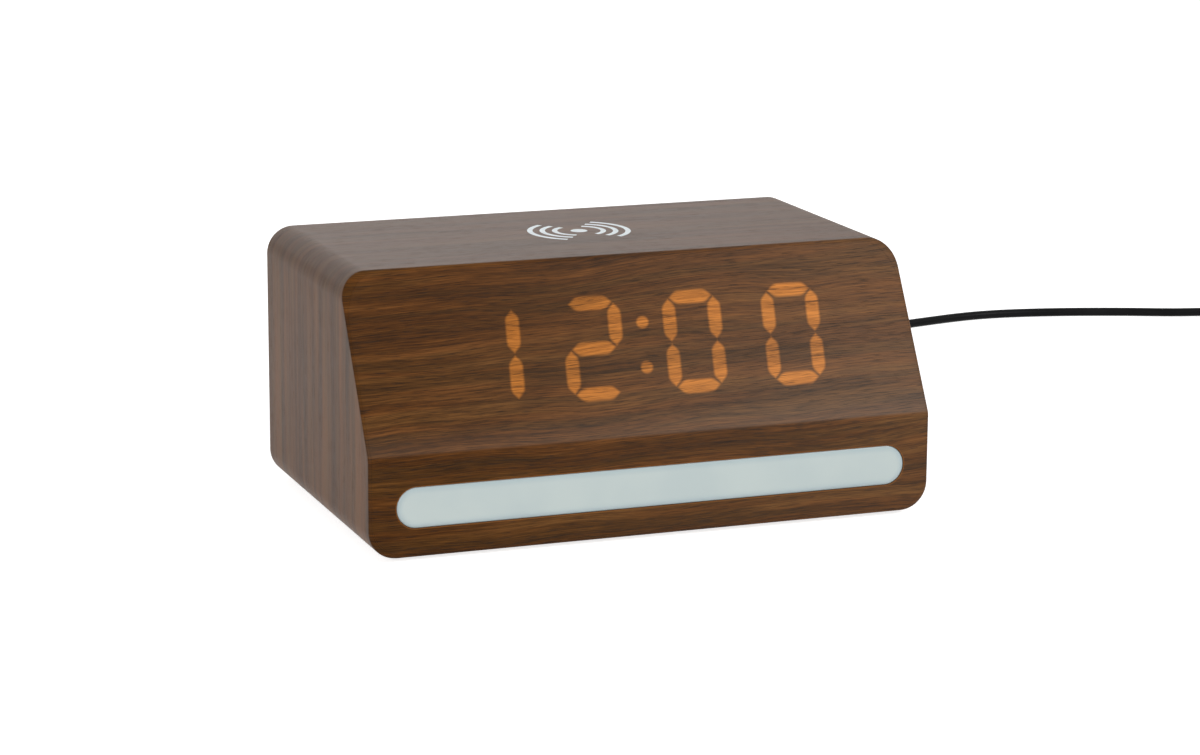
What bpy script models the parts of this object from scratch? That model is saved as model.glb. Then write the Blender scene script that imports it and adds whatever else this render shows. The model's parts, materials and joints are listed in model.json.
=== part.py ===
"""Digital alarm clock in a veneered wooden case, with a light bar and a charging top.

Units are metres. X runs to the right, Y to the back and Z up. The origin is on the
ground, below the middle of the case. The front is upright below and leans back above.
"""

import math

import bmesh
import bpy
import numpy as np
from mathutils import Vector

# Fits that all pieces share
GAP = 0.0003
RUNNING_GAP = 0.0004
OVERRUN = 0.002
ROUND_SIDES = 24
BUTTON_SIDES = 20
SMALL_SIDES = 12
TINY_SIDES = 8
CORNER_STEPS = 6
SMOOTH_ANGLE = math.radians(40)

# Case
CASE_WIDTH = 0.190
CASE_DEPTH = 0.115
CASE_HEIGHT = 0.085
CASE_CORNER = 0.009
CASE_WALL = 0.005
KINK_HEIGHT = 0.032
TOP_SETBACK = 0.0305
PANEL_DEPTH = 0.0045
BLOCK_SIDE = 0.012
BLOCK_LENGTH = 0.015

# Feet, let into the underside
FOOT_RADIUS = 0.0055
FOOT_SHOWS = 0.0015
FOOT_SEAT = 0.0012
FOOT_INSET_X = 0.017
FOOT_INSET_Y = 0.018

# Light bar
LIGHT_MARGIN = 0.0089
LIGHT_HEIGHT = 0.013
LIGHT_ABOVE_BASE = 0.01575
LENS_FLANGE = 0.0012
LENS_FLANGE_DEPTH = 0.0012
HOUSING_WALL = 0.0015
HOUSING_DEPTH = 0.014
LIGHT_BOARD_THICKNESS = 0.0016
LIGHT_BOARD_MARGIN = 0.0015
LED_COUNT = 12
LED_WIDTH = 0.0035
LED_HEIGHT = 0.0028
LED_DEPTH = 0.0010

# Display behind the leaning part of the front
DIGIT_PITCH = 0.0343
DIGIT_HALF_HEIGHT = 0.0150
DIGIT_HALF_WIDTH = 0.0078
SEGMENT_WIDTH = 0.0048
SEGMENT_END_GAP = 0.0005
DIGIT_SLANT = math.radians(4.8)
DISPLAY_SHIFT = 0.0017
COLON_RADIUS = 0.0023
COLON_HALF_PITCH = 0.0075
DISPLAY_MARGIN = 0.0050
VENEER = 0.0008
FRAME_DEPTH = 0.0060
DIFFUSER_DEPTH = 0.0012
DISPLAY_BOARD_THICKNESS = 0.0016
PEG_RADIUS = 0.0012
PEG_INSET = 0.0024

# Charging top
CHARGER_BACK_SHARE = 0.397
CHARGER_SHIFT = 0.0011
CHARGING_COIL_RADIUS = 0.0220
CHARGING_COIL_BORE = 0.0100
CHARGING_COIL_DEPTH = 0.0022
FERRITE_SIDE = 0.0480
FERRITE_THICKNESS = 0.0010
CARRIER_RIM = 0.0020
CARRIER_FLOOR = 0.0025
CARRIER_POST = 0.0022
CARRIER_POST_LENGTH = 0.0045
CHARGER_BOARD_X = 0.0440
CHARGER_BOARD_CLEARANCE = 0.0070
CHARGER_BOARD_THICKNESS = 0.0016

# Rear cover
COVER_RECESS = 0.0030
COVER_THICKNESS = 0.0025
COVER_SCREW_RADIUS = 0.0015
COVER_SCREW_HEAD_RADIUS = 0.0029
COVER_SCREW_HEAD = 0.0017
COVER_SCREW_LENGTH = 0.0125
DRIVE_RADIUS = 0.0013
DRIVE_DEPTH = 0.0008

# Main board, carried by the rear cover
BOARD_SPACE = 0.0104
BOARD_THICKNESS = 0.0016
BOARD_LEFT_MARGIN = 0.0220
BOARD_RIGHT_MARGIN = 0.0160
BOARD_ABOVE_WALL = 0.0095
BOARD_ABOVE_BUTTONS = 0.0050
BOARD_HOLE_INSET = 0.0040
BOSS_RADIUS = 0.0030
BOARD_SCREW_RADIUS = 0.0012
BOARD_SCREW_HEAD_RADIUS = 0.0025
BOARD_SCREW_HEAD = 0.0016
BOARD_SCREW_LENGTH = 0.0065
CHIP_SIDE = 0.0120
CHIP_HEIGHT = 0.0020
CHIP_ABOVE_MIDDLE = 0.0100

# Rear buttons and the switches behind them
BUTTON_NAMES = ("set", "up", "down", "alarm", "light")
BUTTON_PITCH = 0.0160
BUTTONS_FROM_EDGE = 0.0160
BUTTON_BELOW_TOP = 0.0205
BUTTON_RADIUS = 0.0037
BUTTON_PROUD = 0.0015
BUTTON_FLANGE = 0.0015
BUTTON_FLANGE_DEPTH = 0.0012
BUTTON_POST_RADIUS = 0.0015
BUTTON_TRAVEL = 0.0006
SWITCH_SIDE = 0.0060
SWITCH_HEIGHT = 0.0035
SWITCH_ENTRY = 0.0005

# Sounder behind its holes
SOUNDER_FROM_EDGE = 0.0200
SOUNDER_RADIUS = 0.0140
SOUNDER_DEPTH = 0.0060
SOUNDER_RING = 0.0013
SOUND_HOLE_RADIUS = 0.0009
SOUND_HOLE_PITCH = 0.0038
SOUND_HOLE_RINGS = 2

# Coin cell and its turning cap
CELL_SHIFT = 0.0050
CELL_RADIUS = 0.0100
CELL_THICKNESS = 0.0032
HOLDER_FLOOR = 0.0015
HOLDER_WALL = 0.0020
CAP_RADIUS = 0.0122
CAP_BOSS_RADIUS = 0.0060
CAP_NECK_RADIUS = 0.0112
CAP_NECK_DEPTH = 0.0024
LUG_REACH = 0.0020
LUG_DEPTH = 0.0012
LUG_HALF_ANGLE = math.radians(14)
NOTCH_HALF_ANGLE = math.radians(18)
CAP_TURN = math.radians(45)
COIN_SLOT_LENGTH = 0.0140
COIN_SLOT_WIDTH = 0.0018
COIN_SLOT_DEPTH = 0.0009

# Power socket and the cord's plug in it
SOCKET_FROM_EDGE = 0.0140
SOCKET_ABOVE_BOARD_EDGE = 0.0060
SOCKET_SIDE = 0.0090
SOCKET_COLLAR_RADIUS = 0.0034
BARREL_RADIUS = 0.00175
BARREL_LENGTH = 0.0095
BARREL_SEAT = 0.0050
PLUG_RADIUS = 0.0044
PLUG_LENGTH = 0.0152
RELIEF_RADIUS = 0.0027
RELIEF_LENGTH = 0.0080

# Cord
CORD_DIAMETER = 0.0035
CORD_STEP = 0.0088
CORD_ROUTE = (
    (0.0600, 0.0783, 0.0220),
    (0.0600, 0.0820, 0.0220),
    (0.0602, 0.0930, 0.0203),
    (0.0610, 0.1050, 0.0150),
    (0.0635, 0.1180, 0.0080),
    (0.0690, 0.1310, 0.0031),
    (0.0790, 0.1460, 0.0018),
    (0.0940, 0.1615, 0.0018),
    (0.1150, 0.1750, 0.0018),
    (0.1410, 0.1866, 0.0018),
    (0.1700, 0.1960, 0.0018),
    (0.1970, 0.2032, 0.0018),
    (0.2200, 0.2085, 0.0018),
    (0.2410, 0.2128, 0.0018),
    (0.2560, 0.2137, 0.0018),
    (0.2710, 0.2120, 0.0018),
    (0.2900, 0.2075, 0.0018),
    (0.3110, 0.2005, 0.0018),
    (0.3310, 0.1925, 0.0018),
    (0.3500, 0.1862, 0.0020),
    (0.3665, 0.1778, 0.0023),
    (0.3758, 0.1700, 0.0026),
    (0.3819, 0.1595, 0.0028),
    (0.3840, 0.1475, 0.0029),
    (0.3840, 0.1428, 0.0029),
)
COIL_START = (0.3840, 0.1425, 0.0029)
COIL_TURNS = 5
COIL_MEAN_RADIUS = 0.01925
COIL_PITCH = 0.0041
COIL_LAYER = 0.00405
COIL_STEPS = 24
TIE_THICKNESS = 0.0008
TIE_WIDTH = 0.0060
TIE_CORNER = 0.0020
TAIL_ROUTE = (
    (0.3840, 0.1352, 0.00695),
    (0.3840, 0.1315, 0.00695),
    (0.3840, 0.1210, 0.0057),
    (0.3840, 0.1110, 0.0043),
    (0.3840, 0.1070, 0.00405),
    (0.3840, 0.1035, 0.00405),
)

# USB plug on the cord's far end
USB_BODY_WIDTH = 0.0155
USB_BODY_HEIGHT = 0.0080
USB_BODY_LENGTH = 0.0210
USB_BODY_CORNER = 0.0022
USB_RELIEF_LENGTH = 0.0070
USB_SHELL_WIDTH = 0.0120
USB_SHELL_HEIGHT = 0.0045
USB_SHELL_LENGTH = 0.0160
USB_SHELL_SEAT = 0.0042
USB_SHELL_WALL = 0.0003
USB_TONGUE_HEIGHT = 0.0018
USB_TONGUE_SETBACK = 0.0010

# Leads inside
RIBBON_WIDTH = 0.0200
RIBBON_THICKNESS = 0.0004
RIBBON_SAG = 0.0060
RIBBON_STEPS = 8
LEAD_RADIUS = 0.0009
LEAD_FROM_MIDDLE = 0.0400
LEAD_FROM_CHIP = 0.0030
LEAD_SAG = 0.0040
LEAD_STEPS = 10

# Places worked out from the sizes
FRONT = -CASE_DEPTH / 2
BACK = CASE_DEPTH / 2
CASE_LOW = FOOT_SHOWS
CASE_TOP = CASE_LOW + CASE_HEIGHT
CASE_MIDDLE = CASE_LOW + CASE_HEIGHT / 2
KINK = CASE_LOW + KINK_HEIGHT
INNER_HALF_WIDTH = CASE_WIDTH / 2 - CASE_WALL
INNER_LOW = CASE_LOW + CASE_WALL
INNER_TOP = CASE_TOP - CASE_WALL
PANEL_BACK = FRONT + PANEL_DEPTH
LEAN = math.atan2(TOP_SETBACK, CASE_HEIGHT - KINK_HEIGHT)
PANEL_ACROSS = PANEL_DEPTH * math.cos(LEAN)
SLOPE_MIDDLE_Y = FRONT + TOP_SETBACK / 2
SLOPE_MIDDLE_Z = (KINK + CASE_TOP) / 2
LIGHT_LENGTH = CASE_WIDTH - 2 * LIGHT_MARGIN
LIGHT_Z = CASE_LOW + LIGHT_ABOVE_BASE
HOUSING_FRONT = PANEL_BACK + GAP
HOUSING_BACK = HOUSING_FRONT + HOUSING_DEPTH
COVER_BACK = BACK - COVER_RECESS
COVER_FRONT = COVER_BACK - COVER_THICKNESS
BOARD_BACK = COVER_FRONT - BOARD_SPACE
BOARD_FRONT = BOARD_BACK - BOARD_THICKNESS
ON_BOARD = BOARD_BACK + GAP
BUTTON_Z = CASE_TOP - BUTTON_BELOW_TOP
BOARD_LEFT = BOARD_LEFT_MARGIN - INNER_HALF_WIDTH
BOARD_RIGHT = INNER_HALF_WIDTH - BOARD_RIGHT_MARGIN
BOARD_LOW = INNER_LOW + BOARD_ABOVE_WALL
BOARD_TOP = BUTTON_Z + BOARD_ABOVE_BUTTONS
CHIP_X = (BOARD_LEFT + BOARD_RIGHT) / 2
CHIP_Z = (BOARD_LOW + BOARD_TOP) / 2 + CHIP_ABOVE_MIDDLE
LOWER_ROW_Z = (INNER_LOW + BUTTON_Z) / 2
SOUNDER_X = BOARD_LEFT + SOUNDER_FROM_EDGE
SOCKET_X = BOARD_RIGHT - SOCKET_FROM_EDGE
SOCKET_Z = BOARD_LOW + SOCKET_ABOVE_BOARD_EDGE
PLUG_FRONT = COVER_BACK + GAP
DISPLAY_WIDTH = 3 * DIGIT_PITCH + 2 * DIGIT_HALF_WIDTH + SEGMENT_WIDTH + 2 * DISPLAY_MARGIN
DISPLAY_HEIGHT = 2 * DIGIT_HALF_HEIGHT + SEGMENT_WIDTH + 2 * DISPLAY_MARGIN
FRAME_FRONT = VENEER + GAP
DIFFUSER_FRONT = FRAME_FRONT + FRAME_DEPTH + GAP
DISPLAY_BOARD_FRONT = DIFFUSER_FRONT + DIFFUSER_DEPTH + GAP
DISPLAY_BOARD_BACK = DISPLAY_BOARD_FRONT + DISPLAY_BOARD_THICKNESS
COIL_TOP = INNER_TOP - GAP
COIL_LOW = COIL_TOP - CHARGING_COIL_DEPTH
FERRITE_LOW = COIL_LOW - GAP - FERRITE_THICKNESS
CARRIER_SEAT = FERRITE_LOW - GAP
CARRIER_LOW = CARRIER_SEAT - CARRIER_FLOOR
CARRIER_SIDE = FERRITE_SIDE + 2 * (GAP + CARRIER_RIM)
CHARGER_ROOM = COVER_FRONT - PANEL_BACK - TOP_SETBACK - CARRIER_SIDE
CHARGER_Y = COVER_FRONT - CHARGER_ROOM * CHARGER_BACK_SHARE - CARRIER_SIDE / 2
CHARGER_BOARD_Y = 2 * (BOARD_FRONT - CHARGER_BOARD_CLEARANCE - CHARGER_Y)
CHARGER_BOARD_TOP = CARRIER_LOW - CARRIER_POST_LENGTH - GAP
COIL_OUTER = COIL_MEAN_RADIUS + COIL_PITCH * COIL_TURNS / 4
COIL_INNER = COIL_MEAN_RADIUS - COIL_PITCH * COIL_TURNS / 4

# Seven segments as (across, up, upright), in half widths and half heights of a digit
SEGMENT_SHARES = (
    (0, 1, False),
    (0, 0, False),
    (0, -1, False),
    (-1, 0.5, True),
    (1, 0.5, True),
    (-1, -0.5, True),
    (1, -0.5, True),
)
AXES = {
    "X": (Vector((0, 1, 0)), Vector((0, 0, 1)), Vector((1, 0, 0))),
    "Y": (Vector((1, 0, 0)), Vector((0, 0, 1)), Vector((0, 1, 0))),
    "Z": (Vector((1, 0, 0)), Vector((0, 1, 0)), Vector((0, 0, 1))),
}


def clear_scene():
    for old in list(bpy.data.objects):
        bpy.data.objects.remove(old)


def linear(channel):
    """A colour channel from 0 to 255 as the linear value that a shader takes."""
    share = channel / 255
    return share / 12.92 if share <= 0.04045 else ((share + 0.055) / 1.055) ** 2.4


def look(name, colour, roughness, metallic=0.0):
    material = bpy.data.materials.new(name)
    material.use_nodes = True
    shader = material.node_tree.nodes["Principled BSDF"]
    shader.inputs["Base Color"].default_value = (*map(linear, colour), 1)
    shader.inputs["Roughness"].default_value = roughness
    shader.inputs["Metallic"].default_value = metallic
    material.diffuse_color = shader.inputs["Base Color"].default_value
    return material


def add_slab(bm, outline, start, end, axis="Y", centre=(0, 0)):
    """Extrudes a closed outline along an axis."""
    across, up, along = AXES[axis]
    middle = across * centre[0] + up * centre[1]
    rings = [
        [bm.verts.new(middle + across * u + up * v + along * at) for u, v in outline]
        for at in (start, end)
    ]
    bridge(bm, *rings)
    for ring in rings:
        bm.faces.new(ring)


def add_turned(bm, profile, axis="Y", centre=(0, 0), sides=ROUND_SIDES, closed=False):
    """Turns a profile of (radius, place along the axis) round the axis."""
    across, up, along = AXES[axis]
    angles = [2 * math.pi * step / sides for step in range(sides)]
    middle = across * centre[0] + up * centre[1]
    rings = [
        [
            bm.verts.new(middle + radius * (across * math.cos(a) + up * math.sin(a)) + along * at)
            for a in angles
        ]
        for radius, at in profile
    ]
    for ring, following in zip(rings, rings[1:]):
        bridge(bm, ring, following)
    if closed:
        bridge(bm, rings[-1], rings[0])
    else:
        bm.faces.new(rings[0])
        bm.faces.new(rings[-1])


def bridge(bm, ring, following):
    count = len(ring)
    for here in range(count):
        after = (here + 1) % count
        bm.faces.new((ring[here], ring[after], following[after], following[here]))


def rod(radius, start, end):
    return [(radius, start), (radius, end)]


def rounded(width, height, corner, steps=CORNER_STEPS):
    """A rectangle with round corners, centred on zero."""
    points = []
    for turn, (side, rise) in enumerate(((1, 1), (-1, 1), (-1, -1), (1, -1))):
        for step in range(steps + 1):
            angle = math.pi / 2 * (turn + step / steps)
            points.append((
                side * (width / 2 - corner) + corner * math.cos(angle),
                rise * (height / 2 - corner) + corner * math.sin(angle),
            ))
    return points


def stadium(length, height):
    """Two half circles joined by straight sides, centred on zero."""
    points = []
    for turn, side in enumerate((1, -1)):
        for step in range(2 * CORNER_STEPS + 1):
            angle = math.pi * (turn - 0.5 + step / (2 * CORNER_STEPS))
            points.append((
                side * (length - height) / 2 + height / 2 * math.cos(angle),
                height / 2 * math.sin(angle),
            ))
    return points


def rectangle(width, height):
    x, y = width / 2, height / 2
    return [(-x, -y), (x, -y), (x, y), (-x, y)]


def sector(inner, outer, middle, half, steps=4):
    """A piece of a ring, about the direction middle."""
    angles = [middle + half * (2 * step / steps - 1) for step in range(steps + 1)]
    rim = [(outer * math.cos(a), outer * math.sin(a)) for a in angles]
    return rim + [(inner * math.cos(a), inner * math.sin(a)) for a in reversed(angles)]


def piece(name, bm, material=None, at=(0, 0, 0), parent=None, smooth=False):
    """Makes an object of the shapes in bm. Without a material it is a tool for a Boolean."""
    bmesh.ops.recalc_face_normals(bm, faces=bm.faces)
    mesh = bpy.data.meshes.new(name)
    bm.to_mesh(mesh)
    bm.free()
    if smooth:
        mesh.shade_smooth()
        mesh.set_sharp_from_angle(angle=SMOOTH_ANGLE)
    made = bpy.data.objects.new(name, mesh)
    made.location = at
    made.parent = parent
    bpy.context.scene.collection.objects.link(made)
    if material:
        mesh.materials.append(material)
    else:
        made.hide_render = True
        made.display_type = "WIRE"
    return made


def slab(name, outline, start, end, axis="Y", centre=(0, 0), **options):
    bm = bmesh.new()
    add_slab(bm, outline, start, end, axis, centre)
    return piece(name, bm, **options)


def turned(name, profile, axis="Y", centre=(0, 0), sides=ROUND_SIDES, closed=False, **options):
    bm = bmesh.new()
    add_turned(bm, profile, axis, centre, sides, closed)
    return piece(name, bm, smooth=True, **options)


def combine(target, tool, operation):
    modifier = target.modifiers.new(tool.name, "BOOLEAN")
    modifier.operation = operation
    modifier.solver = "EXACT"
    modifier.object = tool


def cut(target, tool):
    combine(target, tool, "DIFFERENCE")


def join(target, tool):
    combine(target, tool, "UNION")


def keep(target, tool):
    combine(target, tool, "INTERSECT")


def case_outline(inset):
    """The case's round-cornered outline seen from the front, drawn in by inset."""
    corner = max(CASE_CORNER - inset, CASE_CORNER / 8)
    return rounded(CASE_WIDTH - 2 * inset, CASE_HEIGHT - 2 * inset, corner)


def front_line(shift):
    """The front's side view from below the case to above it, moved back by shift."""
    rise = CASE_HEIGHT - KINK_HEIGHT
    lean = TOP_SETBACK * (rise + OVERRUN) / rise
    return [
        (FRONT + shift, CASE_LOW - OVERRUN),
        (FRONT + shift, KINK),
        (FRONT + shift + lean, CASE_TOP + OVERRUN),
    ]


def on_slope(depth, up=0):
    """(y, z) of a point under the leaning face, depth in from it and up along it."""
    return (
        SLOPE_MIDDLE_Y + depth * math.cos(LEAN) + up * math.sin(LEAN),
        SLOPE_MIDDLE_Z - depth * math.sin(LEAN) + up * math.cos(LEAN),
    )


def corner_places(half_x, low, high):
    return [(side * half_x, level) for level in (low, high) for side in (-1, 1)]


def cover_screw_places():
    inset = BLOCK_SIDE / 2
    return corner_places(INNER_HALF_WIDTH - inset, INNER_LOW + inset, INNER_TOP - inset)


def board_screw_places():
    return [
        (x, z)
        for z in (BOARD_LOW + BOARD_HOLE_INSET, BOARD_TOP - BOARD_HOLE_INSET)
        for x in (BOARD_LEFT + BOARD_HOLE_INSET, BOARD_RIGHT - BOARD_HOLE_INSET)
    ]


def foot_places():
    reach = CASE_DEPTH / 2 - FOOT_INSET_Y
    return corner_places(CASE_WIDTH / 2 - FOOT_INSET_X, -reach, reach)


def button_places():
    first = BOARD_LEFT + BUTTONS_FROM_EDGE
    return [(first + number * BUTTON_PITCH, BUTTON_Z) for number in range(len(BUTTON_NAMES))]


def case_wrap(wood):
    """The veneered sleeve round the top, sides and bottom, with glued corner blocks."""
    middle = (0, CASE_MIDDLE)
    wrap = slab("case_wrap", case_outline(0), FRONT, BACK, centre=middle, material=wood)
    hollow = case_outline(CASE_WALL)
    cut(wrap, slab("wrap_hollow", hollow, FRONT - OVERRUN, BACK + OVERRUN, centre=middle))
    behind = front_line(PANEL_DEPTH + GAP)
    behind += [(BACK + OVERRUN, CASE_TOP + OVERRUN), (BACK + OVERRUN, CASE_LOW - OVERRUN)]
    keep(wrap, slab("wrap_side_view", behind, -CASE_WIDTH, CASE_WIDTH, "X"))
    blocks, bores = bmesh.new(), bmesh.new()
    block = BLOCK_SIDE + CASE_WALL / 2
    block_end = COVER_FRONT - GAP
    for x, z in corner_places(
        INNER_HALF_WIDTH - BLOCK_SIDE + block / 2,
        INNER_LOW + BLOCK_SIDE - block / 2,
        INNER_TOP - BLOCK_SIDE + block / 2,
    ):
        outline = rectangle(block, block)
        add_slab(blocks, outline, block_end - BLOCK_LENGTH, block_end, centre=(x, z))
    for place in cover_screw_places():
        hole = rod(COVER_SCREW_RADIUS + GAP, block_end - COVER_SCREW_LENGTH, block_end + OVERRUN)
        add_turned(bores, hole, centre=place, sides=SMALL_SIDES)
    join(wrap, piece("wrap_blocks", blocks))
    cut(wrap, piece("wrap_bores", bores))
    seats = bmesh.new()
    for place in foot_places():
        seat = rod(FOOT_RADIUS + GAP, CASE_LOW - OVERRUN, CASE_LOW + FOOT_SEAT)
        add_turned(seats, seat, "Z", place)
    cut(wrap, piece("wrap_foot_seats", seats))


def feet(rubber):
    for number, place in enumerate(foot_places(), 1):
        turned(f"foot_{number}", rod(FOOT_RADIUS, 0, CASE_LOW + FOOT_SEAT - GAP), "Z", place, material=rubber)


def front_panel(wood, slope):
    """The kinked front board, slotted for the light and hollowed behind the digits."""
    middle = (0, CASE_MIDDLE)
    panel = slab("front_panel", case_outline(0), FRONT - OVERRUN, BACK, centre=middle, material=wood)
    side_view = front_line(0) + front_line(PANEL_DEPTH)[::-1]
    keep(panel, slab("panel_side_view", side_view, -CASE_WIDTH, CASE_WIDTH, "X"))
    slot = stadium(LIGHT_LENGTH + 2 * GAP, LIGHT_HEIGHT + 2 * GAP)
    cut(panel, slab("panel_slot", slot, FRONT - OVERRUN, PANEL_BACK + OVERRUN, centre=(0, LIGHT_Z)))
    pocket = rectangle(DISPLAY_WIDTH + 2 * GAP, DISPLAY_HEIGHT + 2 * GAP)
    cut(
        panel,
        slab("panel_pocket", pocket, VENEER, PANEL_ACROSS + OVERRUN, centre=(DISPLAY_SHIFT, 0), parent=slope),
    )


def light(frosted, white, board_green):
    """The lens in the front panel's slot, and the lit channel behind it."""
    flange_length = LIGHT_LENGTH + 2 * LENS_FLANGE
    flange_height = LIGHT_HEIGHT + 2 * LENS_FLANGE
    flange_back = HOUSING_FRONT + LENS_FLANGE_DEPTH
    low = (0, LIGHT_Z)
    bar = stadium(LIGHT_LENGTH, LIGHT_HEIGHT)
    lens = slab("light_lens", bar, FRONT, flange_back, centre=low, material=frosted)
    flange = stadium(flange_length, flange_height)
    join(lens, slab("lens_flange", flange, HOUSING_FRONT, flange_back, centre=low))
    rim_length = flange_length + 2 * GAP
    rim_height = flange_height + 2 * GAP
    outside = stadium(rim_length + 2 * HOUSING_WALL, rim_height + 2 * HOUSING_WALL)
    housing = slab("light_housing", outside, HOUSING_FRONT, HOUSING_BACK, centre=low, material=white)
    shoulder = flange_back + GAP
    rim = stadium(rim_length, rim_height)
    cut(housing, slab("housing_rim", rim, HOUSING_FRONT - OVERRUN, shoulder, centre=low))
    chamber_back = HOUSING_BACK - HOUSING_WALL
    chamber = rectangle(LIGHT_LENGTH - LIGHT_HEIGHT / 2, LIGHT_HEIGHT - LENS_FLANGE)
    cut(housing, slab("housing_chamber", chamber, shoulder - GAP, chamber_back, centre=low))
    lead_hole = rod(LEAD_RADIUS + GAP, chamber_back - OVERRUN, HOUSING_BACK + OVERRUN)
    lead_place = (LEAD_FROM_MIDDLE, LIGHT_Z)
    cut(housing, turned("housing_lead_hole", lead_hole, centre=lead_place, sides=SMALL_SIDES))
    board_back = chamber_back - GAP
    board_front = board_back - LIGHT_BOARD_THICKNESS
    board_length = LIGHT_LENGTH - LIGHT_HEIGHT / 2 - 2 * LIGHT_BOARD_MARGIN
    board_height = LIGHT_HEIGHT - LENS_FLANGE - 2 * LIGHT_BOARD_MARGIN
    strip = rectangle(board_length, board_height)
    board = slab("light_board", strip, board_front, board_back, centre=low, material=board_green)
    lamps = bmesh.new()
    lamp = rectangle(LED_WIDTH, LED_HEIGHT)
    lamp_back = board_front + LIGHT_BOARD_THICKNESS / 2
    for number in range(LED_COUNT):
        x = board_length * ((number + 0.5) / LED_COUNT - 0.5)
        add_slab(lamps, lamp, board_front - LED_DEPTH, lamp_back, centre=(x, LIGHT_Z))
    join(board, piece("light_board_lamps", lamps))


def segment_outlines(inset):
    """The outlines of all segments and of the colon's dots, each drawn in by inset."""
    outlines = []
    for digit in range(4):
        middle = DISPLAY_SHIFT + (digit - 1.5) * DIGIT_PITCH
        for across, up, upright in SEGMENT_SHARES:
            reach = (DIGIT_HALF_HEIGHT / 2 if upright else DIGIT_HALF_WIDTH) - SEGMENT_END_GAP
            half = SEGMENT_WIDTH / 2 - inset
            tip = reach - inset * math.sqrt(2)
            end = tip - half
            bar = [(-tip, 0), (-end, -half), (end, -half), (tip, 0), (end, half), (-end, half)]
            if upright:
                bar = [(-v, u) for u, v in bar]
            outlines.append([
                slanted(u + across * DIGIT_HALF_WIDTH, v + up * DIGIT_HALF_HEIGHT, middle) for u, v in bar
            ])
    for side in (-1, 1):
        angles = [2 * math.pi * step / SMALL_SIDES for step in range(SMALL_SIDES)]
        radius = COLON_RADIUS - inset
        outlines.append([
            slanted(radius * math.cos(a), radius * math.sin(a) + side * COLON_HALF_PITCH, DISPLAY_SHIFT)
            for a in angles
        ])
    return outlines


def slanted(x, z, middle):
    return (middle + x + z * math.tan(DIGIT_SLANT), z)


def peg_places():
    reach = DISPLAY_HEIGHT / 2 - PEG_INSET
    corners = corner_places(DISPLAY_WIDTH / 2 - PEG_INSET, -reach, reach)
    return [(DISPLAY_SHIFT + x, z) for x, z in corners]


def display(slope, black, frosted, board_green):
    """A mask with a well for each segment, a diffuser that fills the wells, and a board."""
    outline = rectangle(DISPLAY_WIDTH, DISPLAY_HEIGHT)
    middle = (DISPLAY_SHIFT, 0)
    frame_back = FRAME_FRONT + FRAME_DEPTH
    frame = slab(
        "display_frame", outline, FRAME_FRONT, frame_back, centre=middle, parent=slope, material=black
    )
    wells, pegs, peg_holes, raised = bmesh.new(), bmesh.new(), bmesh.new(), bmesh.new()
    for well in segment_outlines(0):
        add_slab(wells, well, FRAME_FRONT - OVERRUN, frame_back + OVERRUN)
    for segment in segment_outlines(GAP):
        add_slab(raised, segment, FRAME_FRONT + GAP, DIFFUSER_FRONT + DIFFUSER_DEPTH / 2)
    for place in peg_places():
        peg = rod(PEG_RADIUS, frame_back - FRAME_DEPTH / 2, DISPLAY_BOARD_BACK + GAP)
        add_turned(pegs, peg, centre=place, sides=SMALL_SIDES)
        hole = rod(PEG_RADIUS + GAP, DIFFUSER_FRONT - OVERRUN, DISPLAY_BOARD_BACK + OVERRUN)
        add_turned(peg_holes, hole, centre=place, sides=SMALL_SIDES)
    cut(frame, piece("frame_wells", wells, parent=slope))
    join(frame, piece("frame_pegs", pegs, parent=slope))
    holes = piece("peg_holes", peg_holes, parent=slope)
    diffuser = slab(
        "segment_diffuser",
        outline,
        DIFFUSER_FRONT,
        DIFFUSER_FRONT + DIFFUSER_DEPTH,
        centre=middle,
        parent=slope,
        material=frosted,
    )
    join(diffuser, piece("diffuser_segments", raised, parent=slope))
    cut(diffuser, holes)
    board = slab(
        "display_board",
        outline,
        DISPLAY_BOARD_FRONT,
        DISPLAY_BOARD_BACK,
        centre=middle,
        parent=slope,
        material=board_green,
    )
    cut(board, holes)


def charger(copper, grey, black, board_green):
    """The winding under the top, on its ferrite plate in a carrier, with its board below."""
    middle = (CHARGER_SHIFT, CHARGER_Y)
    winding = [
        (CHARGING_COIL_BORE, COIL_LOW),
        (CHARGING_COIL_RADIUS, COIL_LOW),
        (CHARGING_COIL_RADIUS, COIL_TOP),
        (CHARGING_COIL_BORE, COIL_TOP),
    ]
    turned("charging_coil", winding, "Z", middle, closed=True, material=copper)
    plate = rectangle(FERRITE_SIDE, FERRITE_SIDE)
    plate_top = FERRITE_LOW + FERRITE_THICKNESS
    slab("ferrite_plate", plate, FERRITE_LOW, plate_top, "Z", middle, material=grey)
    square = rectangle(CARRIER_SIDE, CARRIER_SIDE)
    carrier = slab("coil_carrier", square, CARRIER_LOW, COIL_TOP, "Z", middle, material=black)
    tray = rectangle(FERRITE_SIDE + 2 * GAP, FERRITE_SIDE + 2 * GAP)
    cut(carrier, slab("carrier_tray", tray, CARRIER_SEAT, COIL_TOP + OVERRUN, "Z", middle))
    posts = bmesh.new()
    for side in (-1, 1):
        for end in (-1, 1):
            place = (
                CHARGER_SHIFT + side * (CHARGER_BOARD_X / 2 - CARRIER_POST),
                CHARGER_Y + end * (CHARGER_BOARD_Y / 2 - CARRIER_POST),
            )
            post = rod(CARRIER_POST, CARRIER_LOW - CARRIER_POST_LENGTH, CARRIER_LOW + CARRIER_FLOOR / 2)
            add_turned(posts, post, "Z", place, SMALL_SIDES)
    join(carrier, piece("carrier_posts", posts))
    board = rectangle(CHARGER_BOARD_X, CHARGER_BOARD_Y)
    board_low = CHARGER_BOARD_TOP - CHARGER_BOARD_THICKNESS
    slab("charger_board", board, board_low, CHARGER_BOARD_TOP, "Z", middle, material=board_green)


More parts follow.
